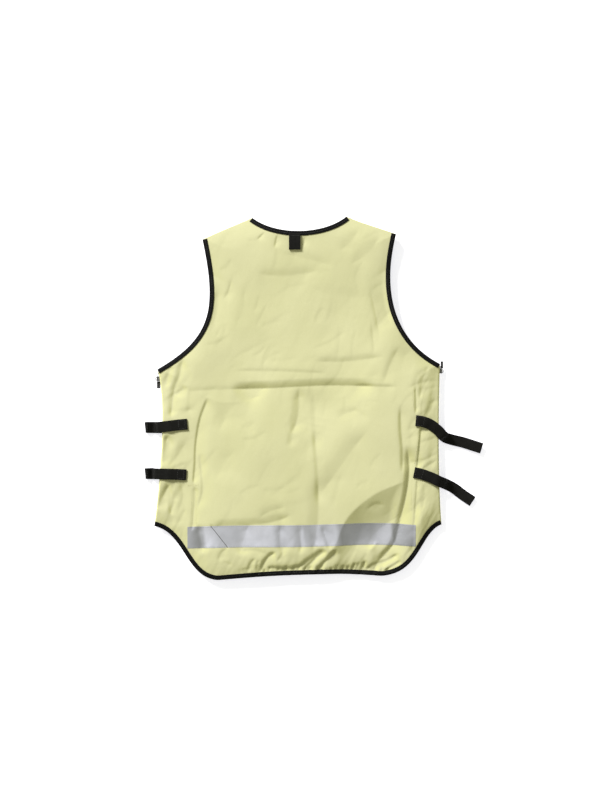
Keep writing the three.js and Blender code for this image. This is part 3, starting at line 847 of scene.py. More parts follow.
@dataclass(frozen=True)
class Crumple:
    """The uneven surface of thin crisp cloth that has been packed."""

    broad: float = 70.0
    broad_depth: float = 0.9
    fine: float = 17.0
    fine_depth: float = 0.09
    side_share: float = 2.5
    side_reach: float = 48.0
    hem_share: float = 8.0
    hem_reach: float = 46.0
    side_end: tuple[float, float] = (40.0, 90.0)
    heading: tuple[float, float] = (0.9, 0.43)
    stretch: float = 3.2

    def rise(self, net: Net) -> np.ndarray:
        """How far the crumples lift the cloth.

        Args:
            net: The points of the panel.

        Returns:
            The lift at each point.
        """
        low = 1 - smoothstep(net.y, *self.side_end)
        low = low * np.exp(-((net.side_inset / self.side_reach) ** 4))
        hem = np.exp(-((net.hem_inset / self.hem_reach) ** 2))
        weight = 1 + self.side_share * low + self.hem_share * hem
        lift = np.zeros(net.x.shape)
        cosine, sine = self.heading
        for index in np.ndindex(net.x.shape):
            x = float(net.x[index])
            y = float(net.y[index])
            slow = noise.noise(Vector((x / self.broad, y / self.broad, 3.7)))
            across = (cosine * x - sine * y) / self.fine
            along = (sine * x + cosine * y) / (self.stretch * self.fine)
            dents = noise.turbulence(Vector((across, along, 9.1)), 2, True)
            knobs = noise.turbulence(Vector((across + 5.3, along - 2.7, 1.4)), 2, True)
            lift[index] = self.broad_depth * slow + self.fine_depth * weight[index] * (dents - knobs)
        return lift


def pillow(inset: np.ndarray, run: float, kept: np.ndarray | float, power: float) -> np.ndarray:
    """How an edge rises to the full height.

    Args:
        inset: Distances from the edge.
        run: The distance over which it rises.
        kept: The share of the height at the edge itself.
        power: How quickly it rises near the edge.

    Returns:
        Shares of the full height.
    """
    share = 1 - np.clip(inset / run, 0.0, 1.0)
    return kept + (1 - kept) * (1 - share**power)


def side_rise(net: Net) -> np.ndarray:
    """How the two sides of the back rise to the full height.

    The left strip lies low and nearly level, and the right strip slopes down to its edge.

    Args:
        net: The points of the back.

    Returns:
        Shares of the full height.
    """
    tip = SHOULDER_OPEN * smoothstep(net.along, 0.5, 1.0)
    hole = np.maximum(ARMHOLE_OPEN * np.sin(math.pi * net.along), tip)
    armhole = np.select([net.part == 1, net.part == 2], [hole, SHOULDER_OPEN], 0.0)[:, None]
    low = 1 - smoothstep(net.y, *STRIP_END)
    left = net.insets[Side.LEFT]
    right = net.insets[Side.RIGHT]
    strip = STRIP_LEVEL * pillow(left, STRIP_RUN, 0.0, STRIP_POWER)
    strip = strip - STRIP_SAG * smoothstep(left, *STRIP_FALL)
    strip = strip + (1 - STRIP_LEVEL + STRIP_SAG) * smoothstep(left, *STRIP_CLIMB)
    slope = SLOPE_LEVEL * pillow(right, STRIP_RUN, SLOPE_KEPT / SLOPE_LEVEL, STRIP_POWER)
    slope = slope + (1 - SLOPE_LEVEL) * pillow(right, SLOPE_RUN, 0.0, SLOPE_POWER)
    rise = low * strip + (1 - low) * pillow(left, ARMHOLE_RUN, armhole, EDGE_POWER)
    return rise * (low * slope + (1 - low) * pillow(right, ARMHOLE_RUN, armhole, EDGE_POWER))


def back_tops(net: Net) -> np.ndarray:
    """Heights of the top of the back over the floor.

    Args:
        net: The points of the back.

    Returns:
        Heights in millimetres.
    """
    middle = np.sin(math.pi * net.across)
    rise = side_rise(net)
    rise = rise * pillow(net.hem_inset, HEM_RUN, HEM_OPEN * middle, EDGE_POWER)
    neck_kept = SHOULDER_OPEN + (NECK_OPEN - SHOULDER_OPEN) * middle
    rise = rise * pillow(net.neck_inset, NECK_RUN, neck_kept, EDGE_POWER)
    folds = (*UPPER_FOLDS, *MIDDLE_FOLDS, *POCKET_FOLDS, *SIDE_FOLDS, *HEM_FOLDS)
    folds = (*folds, *Pleats().folds(), *Creases().folds())
    drop = sum(fold.drop(net.x, net.y) for fold in folds) - Crumple().rise(net)
    insets = np.minimum(net.side_inset, net.neck_inset)
    held = EDGE_HELD + (1 - EDGE_HELD) * smoothstep(insets, 0.0, EDGE_RUN)
    held = held * (HEM_HELD + (1 - HEM_HELD) * smoothstep(net.hem_inset, 0.0, HEM_HELD_RUN))
    height = BACK_SEAM + (BACK_TOP - BACK_SEAM) * rise - held * drop
    return BACK_LOWEST + np.logaddexp(0.0, height - BACK_LOWEST)


def front_tops(net: Net) -> np.ndarray:
    """Heights of the top of the front, which is flat in the middle and lifted towards its edges.

    Args:
        net: The points of the front.

    Returns:
        Heights in millimetres.
    """
    climb = np.where(net.part == 1, smoothstep(net.along, 0.2, 1.0), np.where(net.part == 2, 1.0, 0.0))
    side_lift = FRONT_SIDE_LIFT + (FRONT_SHOULDER_LIFT - FRONT_SIDE_LIFT) * climb[:, None]
    middle = np.sqrt(np.clip(np.sin(math.pi * net.across), 0.0, 1.0))
    hem_lift = FRONT_SIDE_LIFT + (FRONT_HEM_LIFT - FRONT_SIDE_LIFT) * middle
    neck_lift = FRONT_SHOULDER_LIFT + (FRONT_HEM_LIFT - FRONT_SHOULDER_LIFT) * middle
    flat = np.where(net.part == 0, FRONT_FLAT, BINDING_WIDTH)[:, None]
    side = side_lift * (1 - smoothstep(net.side_inset - flat, 0.0, FRONT_RUN))
    hem = hem_lift * (1 - smoothstep(net.hem_inset, BINDING_WIDTH, FRONT_RUN))
    neck = neck_lift * (1 - smoothstep(net.neck_inset, BINDING_WIDTH, FRONT_RUN))
    return SOLID_WALL + np.maximum(side, np.maximum(hem, neck))


class Wire:
    """An output of a node, whose operators add Math nodes."""

    def __init__(self, recipe: "Recipe", socket: bpy.types.NodeSocket) -> None:
        """Keeps the socket and the recipe that it is part of."""
        self.recipe = recipe
        self.socket = socket

    def _math(self, operation: str, first: "Wire | float", second: "Wire | float") -> "Wire":
        """Adds one Math node.

        Args:
            operation: What the node does.
            first: Its first value.
            second: Its second value.

        Returns:
            The node's result.
        """
        node = self.recipe.node("ShaderNodeMath", {"operation": operation}, {0: first, 1: second})
        return Wire(self.recipe, node.outputs[0])

    def __add__(self, other: "Wire | float") -> "Wire":
        """Adds a value."""
        return self._math("ADD", self, other)

    def __radd__(self, other: float) -> "Wire":
        """Adds to a number."""
        return self._math("ADD", other, self)

    def __sub__(self, other: "Wire | float") -> "Wire":
        """Takes a value away."""
        return self._math("SUBTRACT", self, other)

    def __rsub__(self, other: float) -> "Wire":
        """Takes this value from a number."""
        return self._math("SUBTRACT", other, self)

    def __mul__(self, other: "Wire | float") -> "Wire":
        """Multiplies by a value."""
        return self._math("MULTIPLY", self, other)

    def __rmul__(self, other: float) -> "Wire":
        """Multiplies a number."""
        return self._math("MULTIPLY", other, self)


class Recipe:
    """A material that is being put together from nodes."""

    def __init__(self, name: str) -> None:
        """Starts a material with one surface shader.

        Args:
            name: The material's name.
        """
        self.material = bpy.data.materials.new(name)
        self.material.use_nodes = True
        self.tree = self.material.node_tree
        self.tree.nodes.clear()
        self.surface = self.node("ShaderNodeBsdfPrincipled", {}, {})
        shader = Wire(self, self.surface.outputs["BSDF"])
        self.node("ShaderNodeOutputMaterial", {}, {"Surface": shader})

    def node(self, kind: str, settings: dict, sockets: dict) -> bpy.types.Node:
        """Adds a node.

        Args:
            kind: The node's type.
            settings: Its settings, which are made first. "stops" are a ramp's places and colours.
            sockets: The values or wires of its inputs.

        Returns:
            The node.
        """
        node = self.tree.nodes.new(kind)
        for key, value in settings.items():
            if key == "stops":
                self._stops(node, value)
            else:
                setattr(node, key, value)
        for key, value in sockets.items():
            if isinstance(value, Wire):
                self.tree.links.new(value.socket, node.inputs[key])
            else:
                node.inputs[key].default_value = value
        return node

    @staticmethod
    def _stops(node: bpy.types.Node, stops: Sequence[tuple[float, Colour]]) -> None:
        """Sets the stops of a colour ramp.

        Args:
            node: The ramp.
            stops: Places from low to high with their colours.
        """
        elements = node.color_ramp.elements
        for index, (place, colour) in enumerate(stops):
            element = elements[index] if index < len(elements) else elements.new(place)
            element.position = place
            element.color = (*colour, 1.0)

    def coordinates(self, output: str) -> Wire:
        """The place on the piece, as Object or UV coordinates."""
        return Wire(self, self.node("ShaderNodeTexCoord", {}, {}).outputs[output])

    def attribute(self, name: str) -> Wire:
        """A value that the mesh keeps at its points."""
        return Wire(self, self.node("ShaderNodeAttribute", {"attribute_name": name}, {}).outputs["Fac"])

    def clamped(self, value: Wire) -> Wire:
        """A value kept between 0 and 1."""
        return Wire(self, self.node("ShaderNodeClamp", {}, {0: value}).outputs[0])

    def noise(self, where: Wire, scale: float, detail: float) -> Wire:
        """Soft random variation.

        Args:
            where: The coordinates.
            scale: Features in a metre.
            detail: How many finer layers are added.

        Returns:
            Values around a half.
        """
        sockets = {"Vector": where, "Scale": scale, "Detail": detail}
        return Wire(self, self.node("ShaderNodeTexNoise", {}, sockets).outputs[0])

    def bands(self, where: Wire, direction: str, period: float, bend: float = 0.0) -> Wire:
        """Even bands, such as threads or ribs.

        Args:
            where: The coordinates.
            direction: The axis that the bands follow each other along.
            period: The distance from band to band, in millimetres.
            bend: How much the bands waver.

        Returns:
            Values from 0 to 1.
        """
        settings = {"wave_type": "BANDS", "bands_direction": direction, "wave_profile": "SIN"}
        scale = 2 * math.pi / (20 * period * MM)
        sockets = {"Vector": where, "Scale": scale, "Distortion": bend, "Detail": 1.0}
        return Wire(self, self.node("ShaderNodeTexWave", settings, sockets).outputs["Fac"])

    def ramp(self, factor: Wire, stops: Sequence[tuple[float, Colour]]) -> Wire:
        """Colours between stops.

        Args:
            factor: Where on the ramp.
            stops: The places, from low to high, and their colours.

        Returns:
            The colour.
        """
        node = self.node("ShaderNodeValToRGB", {"stops": stops}, {"Fac": factor})
        return Wire(self, node.outputs["Color"])

    def blend(self, factor: Wire, first: Wire, second: Wire | Colour) -> Wire:
        """Mixes two colours.

        Args:
            factor: The share of the second colour.
            first: The first colour.
            second: The second colour.

        Returns:
            The mixed colour.
        """
        other = second if isinstance(second, Wire) else (*second, 1.0)
        sockets = {0: factor, 6: first, 7: other}
        node = self.node("ShaderNodeMix", {"data_type": "RGBA"}, sockets)
        return Wire(self, node.outputs[2])

    def bump(self, height: Wire, strength: float, depth: float, under: Wire | None = None) -> Wire:
        """Fine relief.

        Args:
            height: Heights from 0 to 1.
            strength: How strongly the relief shows.
            depth: Its depth, in millimetres.
            under: The relief that it lies on.

        Returns:
            The normal.
        """
        sockets = {"Height": height, "Strength": strength, "Distance": depth * MM}
        if under is not None:
            sockets["Normal"] = under
        return Wire(self, self.node("ShaderNodeBump", {}, sockets).outputs["Normal"])

    def dress(self, varied: dict[str, Wire], even: dict[str, float]) -> bpy.types.Material:
        """Sets the inputs of the surface shader.

        Args:
            varied: Inputs that change over the surface.
            even: Inputs that are the same all over.

        Returns:
            The finished material.
        """
        for key, wire in varied.items():
            self.tree.links.new(wire.socket, self.surface.inputs[key])
        for key, value in even.items():
            self.surface.inputs[key].default_value = value
        return self.material


@dataclass(frozen=True)
class WovenCloth:
    """Thin crisp woven cloth, with threads, a light crinkle, uneven fading and painted shade on its steep
    folds.
    """

    name: str = "pale_yellow_cloth"
    colour: Colour = (0.595, 0.585, 0.326)
    faded: Colour = (0.65, 0.635, 0.379)
    # Painted shade: the deeper yellow that the steep flanks of folds are blended towards, for the light
    # bounced inside the folds
    folded: Colour = (0.608, 0.598, 0.298)
    # Steepnesses where the painted shade of the folds starts and where it is full
    fold_shade_start: float = 0.1
    fold_shade_full: float = 0.34
    thread: float = 0.8

    def material(self) -> bpy.types.Material:
        """Builds the cloth's material."""
        recipe = Recipe(self.name)
        where = recipe.coordinates("Object")
        cloud = recipe.noise(where, 9.0, 3.0)
        crinkle = recipe.noise(where, 75.0, 5.0)
        slub = recipe.noise(where, 420.0, 2.0)
        warp = recipe.bands(where, "X", self.thread)
        weft = recipe.bands(where, "Y", self.thread)
        tone = recipe.ramp(cloud * 0.75 + slub * 0.25, ((0.3, self.colour), (0.7, self.faded)))
        # Painted shade: the steeper the cloth, the more it is blended towards the shaded yellow of the
        # folds
        steep = (recipe.attribute(STEEPNESS) - self.fold_shade_start) * (1 / (self.fold_shade_full - self.fold_shade_start))
        tone = recipe.blend(recipe.clamped(steep), tone, self.folded)
        soft = recipe.bump(crinkle, 0.16, 1.0)
        normal = recipe.bump(warp * weft + slub * 0.5, 0.18, 0.12, soft)
        varied = {"Base Color": tone, "Roughness": 0.62 + slub * 0.25, "Normal": normal}
        return recipe.dress(varied, {"Sheen Weight": 0.12, "Specular IOR Level": 0.32})


@dataclass(frozen=True)
class WovenTape:
    """Black woven tape: ribs across it, a fine line along it and a little dust on the ribs."""

    name: str
    colour: Colour
    worn: Colour
    rib: float
    line: float
    relief: float

    def material(self) -> bpy.types.Material:
        """Builds the tape's material."""
        recipe = Recipe(self.name)
        flat = recipe.coordinates("UV")
        where = recipe.coordinates("Object")
        ribs = recipe.bands(flat, "X", self.rib, 0.6)
        lines = recipe.bands(flat, "Y", self.line)
        dust = recipe.noise(where, 160.0, 3.0)
        weave = ribs * (0.4 + lines * 0.6)
        tone = recipe.ramp(weave * dust * 1.6, ((0.1, self.colour), (0.75, self.worn)))
        normal = recipe.bump(weave + dust * 0.3, 0.55, self.relief)
        varied = {"Base Color": tone, "Roughness": 0.58 + dust * 0.3, "Normal": normal}
        return recipe.dress(varied, {"Specular IOR Level": 0.1})


# Painted shade along the reflective tape: how bright it is at places along its length, in millimetres from
# its left end, darker where it lies in the hollow and in folds
TAPE_PAINTED_SHADE = (
    (0, 0.62),
    (12, 0.42),
    (20, 0.3),
    (28, 0.5),
    (35, 0.98),
    (50, 1.0),
    (58, 0.84),
    (66, 0.8),
    (92, 0.82),
    (110, 1.0),
    (156, 1.0),
    (165, 0.86),
    (184, 0.9),
    (192, 0.84),
    (206, 0.74),
    (209, 1.0),
    (213, 1.0),
    (217, 0.74),
    (227, 0.72),
    (240, 1.0),
    (256, 0.9),
    (274, 0.95),
    (284, 0.4),
    (300, 0.52),
    (340, 0.5),
    (354, 0.78),
    (376, 0.86),
    (382, 0.34),
    (404, 0.5),
    (421, 0.74),
)


@dataclass(frozen=True)
class BeadedTape:
    """Silver-grey reflective tape: fine glass beads on grey, with painted shade along its length and along
    its slanted crease.
    """

    name: str = "silver_reflective_tape"
    # Painted shade: the colour that the tape is darkened towards where it lies in the hollow and in folds
    painted_shade: Colour = (0.20, 0.205, 0.20)
    colour: Colour = (0.578, 0.588, 0.676)
    bright: Colour = (0.688, 0.695, 0.792)
    # Painted shade in the slanted crease across the tape
    crease_shade: Colour = (0.09, 0.09, 0.09)
    length: float = 421.5
    lean: float = 0.12
    crease_start: float = 74.7
    crease_lean: float = -0.785
    crease_width: float = 1.5
    stray: float = 6.0
    stray_back: float = 5.4

    def _crease(self, recipe: Recipe, along: Wire, across: Wire) -> Wire:
        """The sharp slanted crease that crosses the tape, painted dark as the shade in it.

        Args:
            recipe: The material.
            along: Places along the tape, in metres.
            across: Places across it.

        Returns:
            1 on the crease, and 0 beside it.
        """
        beside = along - self.crease_start * MM - across * self.crease_lean
        beside = beside * (2 / (self.crease_width * MM))
        near = recipe.node("ShaderNodeMath", {"operation": "ABSOLUTE"}, {0: beside})
        off = Wire(recipe, near.outputs[0])
        return recipe.clamped(1.4 - off)

    def material(self) -> bpy.types.Material:
        """Builds the tape's material."""
        recipe = Recipe(self.name)
        where = recipe.coordinates("Object")
        flat = recipe.node("ShaderNodeSeparateXYZ", {}, {0: recipe.coordinates("UV")})
        along = Wire(recipe, flat.outputs[0])
        across = Wire(recipe, flat.outputs[1])
        beads = recipe.noise(where, 1500.0, 1.0)
        marks = recipe.noise(where, 34.0, 4.0)
        stops = [(place / self.length, (shade, shade, shade)) for place, shade in TAPE_PAINTED_SHADE]
        place = along + across * self.lean + marks * (self.stray * MM) - self.stray_back * MM
        share = place * (1 / (self.length * MM))
        shade = recipe.ramp(share, stops)
        tone = recipe.ramp(marks * 0.7 + beads * 0.3, ((0.35, self.colour), (0.65, self.bright)))
        # Painted shade along the tape, from the table of shade by place
        tone = recipe.blend(1.0 - shade, tone, self.painted_shade)
        # Painted shade: a dark line along the crease, where the mesh is too coarse to shade it
        tone = recipe.blend(self._crease(recipe, along, across), tone, self.crease_shade)
        soft = recipe.bump(marks, 0.15, 0.6)
        normal = recipe.bump(beads, 0.2, 0.08, soft)
        varied = {"Base Color": tone, "Roughness": 0.36 + marks * 0.22, "Normal": normal}
        return recipe.dress(varied, {"Metallic": 0.45, "Specular IOR Level": 0.5})


@dataclass(frozen=True)
class Thread:
    """Sewing thread with its twist."""

    name: str
    colour: Colour
    light: Colour

    def material(self) -> bpy.types.Material:
        """Builds the thread's material."""
        recipe = Recipe(self.name)
        where = recipe.coordinates("Object")
        twist = recipe.bands(where, "DIAGONAL", 0.5)
        fuzz = recipe.noise(where, 900.0, 2.0)
        tone = recipe.ramp(twist * 0.6 + fuzz * 0.4, ((0.2, self.colour), (0.8, self.light)))
        normal = recipe.bump(twist, 0.4, 0.1)
        varied = {"Base Color": tone, "Roughness": 0.55 + fuzz * 0.2, "Normal": normal}
        return recipe.dress(varied, {"Specular IOR Level": 0.4})


@dataclass(frozen=True)
class Moulded:
    """Moulded plastic or painted metal, rubbed lighter here and there."""

    name: str
    colour: Colour
    rubbed: Colour
    metallic: float
    roughness: float

    def material(self) -> bpy.types.Material:
        """Builds the material."""
        recipe = Recipe(self.name)
        where = recipe.coordinates("Object")
        wear = recipe.noise(where, 320.0, 4.0)
        grain = recipe.noise(where, 1800.0, 2.0)
        tone = recipe.ramp(wear, ((0.45, self.colour), (0.72, self.rubbed)))
        normal = recipe.bump(grain, 0.25, 0.06)
        varied = {"Base Color": tone, "Roughness": self.roughness + wear * 0.2, "Normal": normal}
        return recipe.dress(varied, {"Metallic": self.metallic})


class Finishes:
    """The materials of the vest, each one made once."""

    def __init__(self) -> None:
        """Builds every material."""
        black = (0.0035, 0.0034, 0.0036)
        worn_black = (0.0075, 0.0074, 0.0077)
        strap = (0.0055, 0.0053, 0.005)
        worn_strap = (0.016, 0.0155, 0.014)
        coil = (0.010, 0.010, 0.011)
        rubbed_coil = (0.03, 0.03, 0.032)
        pull = (0.012, 0.012, 0.013)
        rubbed_pull = (0.035, 0.035, 0.036)
        metal = (0.16, 0.16, 0.165)
        bare_metal = (0.42, 0.42, 0.43)
        self.cloth = WovenCloth().material()
        self.binding = WovenTape("black_binding", black, worn_black, 0.9, 1.4, 0.12).material()
        self.webbing = WovenTape("black_webbing", strap, worn_strap, 1.5, 2.5, 0.3).material()
        self.reflective = BeadedTape().material()
        self.black_thread = Thread("black_thread", (0.025, 0.025, 0.026), (0.11, 0.11, 0.113)).material()
        self.yellow_thread = Thread("yellow_thread", (0.56, 0.54, 0.29), (0.68, 0.66, 0.40)).material()
        self.grey_thread = Thread("grey_thread", (0.24, 0.24, 0.25), (0.36, 0.36, 0.37)).material()
        self.coil = Moulded("black_zip_coil", coil, rubbed_coil, 0.0, 0.4).material()
        self.metal = Moulded("dark_slider_metal", metal, bare_metal, 0.85, 0.28).material()
        self.rubber = Moulded("black_pull", pull, rubbed_pull, 0.0, 0.5).material()


def grid_mesh(points: np.ndarray, flat: tuple[float, float] | None = None) -> bmesh.types.BMesh:
    """A grid with its corners moved to points.

    Args:
        points: Points in metres, in rows and columns.
        flat: The width along the columns and the length along the rows for the UV map, in metres.

    Returns:
        The mesh.
    """
    rows, columns = points.shape[0] - 1, points.shape[1] - 1
    mesh = bmesh.new()
    layer = mesh.loops.layers.uv.new("flat") if flat else None
    bmesh.ops.create_grid(mesh, x_segments=columns, y_segments=rows, size=0.5)
    for vertex in mesh.verts:
        column = round((vertex.co.x + 0.5) * columns)
        row = round((vertex.co.y + 0.5) * rows)
        if layer:
            for loop in vertex.link_loops:
                loop[layer].uv = (flat[0] * column / columns, flat[1] * row / rows)
        vertex.co = points[row, column]
    return mesh


def mark_steepness(mesh: bmesh.types.BMesh) -> None:
    """Keeps how steep a sheet is at each point, as a rise over a run.

    Args:
        mesh: The mesh of the sheet.
    """
    mesh.normal_update()
    layer = mesh.verts.layers.float.new(STEEPNESS)
    for vertex in mesh.verts:
        vertex[layer] = math.tan(min(vertex.normal.angle(Vector((0.0, 0.0, 1.0))), 1.2))


def add_piece(
    mesh: bmesh.types.BMesh,
    name: str,
    material: bpy.types.Material,
    stands_for: Sequence[str] = (),
) -> bpy.types.Object:
    """Makes a mesh a piece of the vest.

    Args:
        mesh: The finished mesh, which is freed.
        name: The name of the piece.
        material: Its material.
        stands_for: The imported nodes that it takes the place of.

    Returns:
        The piece.
    """
    data = bpy.data.meshes.new(name)
    mesh.to_mesh(data)
    mesh.free()
    data.shade_smooth()
    data.materials.append(material)
    piece = bpy.data.objects.new(name, data)
    bpy.context.scene.collection.objects.link(piece)
    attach(piece, BODY)
    if stands_for:
        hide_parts(*stands_for)
    LOG.info("%s: %d faces", name, len(data.polygons))
    return piece


def thicken(piece: bpy.types.Object, wall: float, offset: float, rim_only: bool = False) -> None:
    """Gives a sheet its thickness, and keeps its faces flat up to the rim.

    Args:
        piece: The sheet.
        wall: The thickness, in millimetres.
        offset: -1 grows it under the sheet, 1 over it.
        rim_only: True leaves out the hidden face.
    """
    solidify = piece.modifiers.new("wall", "SOLIDIFY")
    solidify.thickness = wall * MM
    solidify.offset = offset
    solidify.use_quality_normals = True
    solidify.use_rim_only = rim_only
    flat = piece.modifiers.new("flat_faces", "WEIGHTED_NORMAL")
    flat.weight = 100


class Surface:
    """The top of a panel, for what lies on it."""

    def __init__(self, mesh: bmesh.types.BMesh) -> None:
        """Keeps a search tree of the panel's faces."""
        self.tree = BVHTree.FromBMesh(mesh)

    def height(self, x: float, y: float, otherwise: float) -> float:
        """The height of the panel at a place.

        Args:
            x: The place across the vest.
            y: The place along the vest.
            otherwise: The height where there is no panel.

        Returns:
            The height over the floor, in millimetres.
        """
        above = Vector((x * MM + SHIFT.x, y * MM + SHIFT.y, 1.0))
        spot = self.tree.ray_cast(above, Vector((0.0, 0.0, -1.0)))[0]
        return otherwise if spot is None else spot.z / MM

    def support(self, x: float, y: float, reach: float) -> float:
        """The highest point of the panel near a place, or the floor.

        Args:
            x: The place across the vest.
            y: The place along the vest.
            reach: How far to look on each side.

        Returns:
            The height over the floor, in millimetres.
        """
        offsets = (-reach, -reach / 2, 0.0, reach / 2, reach)
        return max(self.height(x + a, y + b, 0.0) for a in offsets for b in offsets)


@dataclass
class Panel:
    """One cloth panel of the vest."""

    name: str
    net: Net
    tops: np.ndarray
    stands_for: Sequence[str]
    rim_only: bool = False
    surface: Surface | None = None
    piece: bpy.types.Object | None = None

    def build(self, finishes: Finishes) -> None:
        """Builds the cloth and keeps its surface.

        Args:
            finishes: The materials of the vest.
        """
        points = placed(np.stack([self.net.x, self.net.y, self.tops], axis=-1))
        mesh = grid_mesh(points)
        mark_steepness(mesh)
        self.surface = Surface(mesh)
        self.piece = add_piece(mesh, self.name, finishes.cloth, self.stands_for)
        thicken(self.piece, CLOTH_WALL, -1.0, self.rim_only)

    def edge(self, edge: Edge) -> np.ndarray:
        """The points of one bound edge, with the cloth on the left hand."""
        values = (self.net.x, self.net.y, self.tops)
        return np.stack([self.net.edge(edge, value) for value in values], axis=-1)

    def declare(self) -> None:
        """Works out the width, length and area of the cut cloth, and uses none of them.
        """
        width, length = self.net.span()
        area = self.net.area() * MM * MM


@dataclass
class Stitching:
    """All stitches of one thread."""

    name: str
    slot: Slot
    length: float = 2.3
    pitch: float = 3.2
    width: float = 0.55
    height: float = 0.4
    spots: list[tuple[np.ndarray, np.ndarray]] = field(default_factory=list)

    def run(self, line: np.ndarray) -> None:
        """Adds a row of stitches.

        Args:
            line: The points that the row follows, in millimetres.
        """
        count = max(2, round(line_length(line) / self.pitch))
        self.spots.extend(zip(*spaced(line, count)))

    def build(self, material: bpy.types.Material) -> bpy.types.Object:
        """Builds the stitches as one piece.

        Args:
            material: The thread's material.

        Returns:
            The piece.
        """
        mesh = bmesh.new()
        scale = Matrix.Diagonal((self.length * MM, self.width * MM, self.height * MM, 1.0))
        for middle, heading in self.spots:
            ahead = Vector(heading).normalized()
            aside = Vector((-ahead.y, ahead.x, 0.0)).normalized()
            up = ahead.cross(aside)
            turn = Matrix((ahead, aside, up)).transposed().to_4x4()
            place = Matrix.Translation(Vector(placed(middle)))
            bmesh.ops.create_icosphere(mesh, subdivisions=1, radius=0.5, matrix=place @ turn @ scale)
        return add_piece(mesh, self.name, material)


@dataclass
class Binding:
    """Tape folded over one edge of a panel and sewn through."""

    panel: Panel
    edge: Edge
    name: str
    stands_for: str
    width: float = BINDING_WIDTH
    tape: float = 0.6
    clear: float = 0.15
    puff: float = 0.35
    spacing: float = 2.4
    seam_share: float = 0.5

    def stations(self) -> tuple[np.ndarray, np.ndarray]:
        """Evenly spaced points along the edge.

        Returns:
            The points, and the level direction into the cloth at each one.
        """
        line = self.panel.edge(self.edge)
        count = round(line_length(line) / self.spacing)
        points = at_shares(line, np.linspace(0.0, 1.0, count + 1))
        ahead = unit_steps(points[:, :2])
        return points, np.stack([-ahead[:, 1], ahead[:, 0]], axis=-1)

    def over(self, point: np.ndarray, inwards: np.ndarray, inset: float) -> np.ndarray:
        """A point on the top of the cloth, some way in from the edge.

        Args:
            point: A point of the edge.
            inwards: The direction into the cloth.
            inset: How far in.

        Returns:
            The point, in millimetres.
        """
        x, y = point[:2] + inwards * inset
        return np.array([x, y, self.panel.surface.height(x, y, point[2])])

    def section(self, point: np.ndarray, inwards: np.ndarray) -> list[np.ndarray]:
        """The folded tape at one station, from the end of its lower leg to the end of its upper leg.

        Args:
            point: A point of the edge.
            inwards: The direction into the cloth.

        Returns:
            The points of the tape's inner side.
        """
        up = np.array([0.0, 0.0, 1.0])
        out = np.array([*-inwards, 0.0])
        lower = [self.over(point, inwards, self.width * share) for share in (1.0, 0.55, 0.12)]
        lower = [spot - up * (CLOTH_WALL + self.clear) for spot in lower]
        middle = point - up * CLOTH_WALL / 2
        radius = CLOTH_WALL / 2 + self.clear
        turn = []
        for degrees in (-70, -25, 25, 70):
            angle = math.radians(degrees)
            turn.append(middle + radius * (math.cos(angle) * out + math.sin(angle) * up))
        upper = []
        for share in (0.1, 0.3, self.seam_share, 0.74, 0.92, 1.0):
            swell = self.puff * math.sin(2 * math.pi * share) ** 2
            spot = self.over(point, inwards, self.width * share)
            spot[2] = max(spot[2], self.panel.surface.support(spot[0], spot[1], 0.9))
            upper.append(spot + up * (self.clear + swell))
        return [*lower, *turn, *upper]

    def build(self, finishes: Finishes, thread: Stitching | None) -> bpy.types.Object:
        """Builds the tape and adds its row of stitches.

        Args:
            finishes: The materials of the vest.
            thread: The thread that the tape is sewn with, or None where the stitches are hidden.

        Returns:
            The piece.
        """
        points, inwards = self.stations()
        sections = [self.section(point, way) for point, way in zip(points, inwards)]
        sheet = np.stack(sections, axis=1)
        flat = (line_length(points) * MM, 2 * self.width * MM)
        mesh = grid_mesh(placed(sheet), flat)
        piece = add_piece(mesh, self.name, finishes.binding, [self.stands_for])
        thicken(piece, self.tape, 1.0)
        if thread is not None:
            inset = self.width * self.seam_share
            line = np.array([self.over(point, way, inset) for point, way in zip(points, inwards)])
            thread.run(line + np.array([0.0, 0.0, self.clear + self.tape + 0.1]))
        return piece


@dataclass
class Route:
    """The middle line of a webbing, with the direction of its width at each step."""

    points: np.ndarray
    rolls: np.ndarray

    def widths(self) -> np.ndarray:
        """The direction of the webbing's width at each step.

        Returns:
            Unit directions, level before the webbing is rolled.
        """
        ahead = unit_steps(self.points)
        level = Vector((-ahead[0, 1], ahead[0, 0], 0.0)).normalized()
        found = []
        for heading, roll in zip(ahead, self.rolls):
            forward = Vector(heading)
            level = level - forward * level.dot(forward)
            level.z = 0.0
            level.normalize()
            width = (level - forward * level.dot(forward)).normalized()
            found.append(Matrix.Rotation(roll, 3, forward) @ width)
        return np.array([tuple(width) for width in found])


@dataclass
class Webbing:
    """A flat woven strap along a route."""

    name: str
    stands_for: str
    width: float = 20.0
    wall: float = 1.3
    crown: float = 0.18
    lanes: int = 10
    edge: float = 0.3

    def build(self, route: Route, finishes: Finishes) -> bpy.types.Object:
        """Builds the strap.

        Args:
            route: Where the strap runs.
            finishes: The materials of the vest.

        Returns:
            The piece.
        """
        widths = route.widths()
        over = np.cross(unit_steps(route.points), widths)
        rows = []
        for lane in np.linspace(-0.5, 0.5, self.lanes + 1):
            lift = self.crown * (1 - (2 * lane) ** 4)
            rows.append(route.points + widths * self.width * lane + over * lift)
        length = line_length(route.points)
        flat = (length * MM, self.width * MM)
        mesh = grid_mesh(placed(np.stack(rows)), flat)
        piece = add_piece(mesh, self.name, finishes.webbing, [self.stands_for])
        thicken(piece, self.wall, 0.0)
        bevel = piece.modifiers.new("soft_edge", "BEVEL")
        bevel.width = self.edge * MM
        bevel.segments = 2
        return piece


@dataclass(frozen=True)
class StrapRow:
    """One row of a strap's route: its place, its height over what lies below and its roll in degrees."""

    x: float
    y: float
    rise: float
    roll: float = 0.0


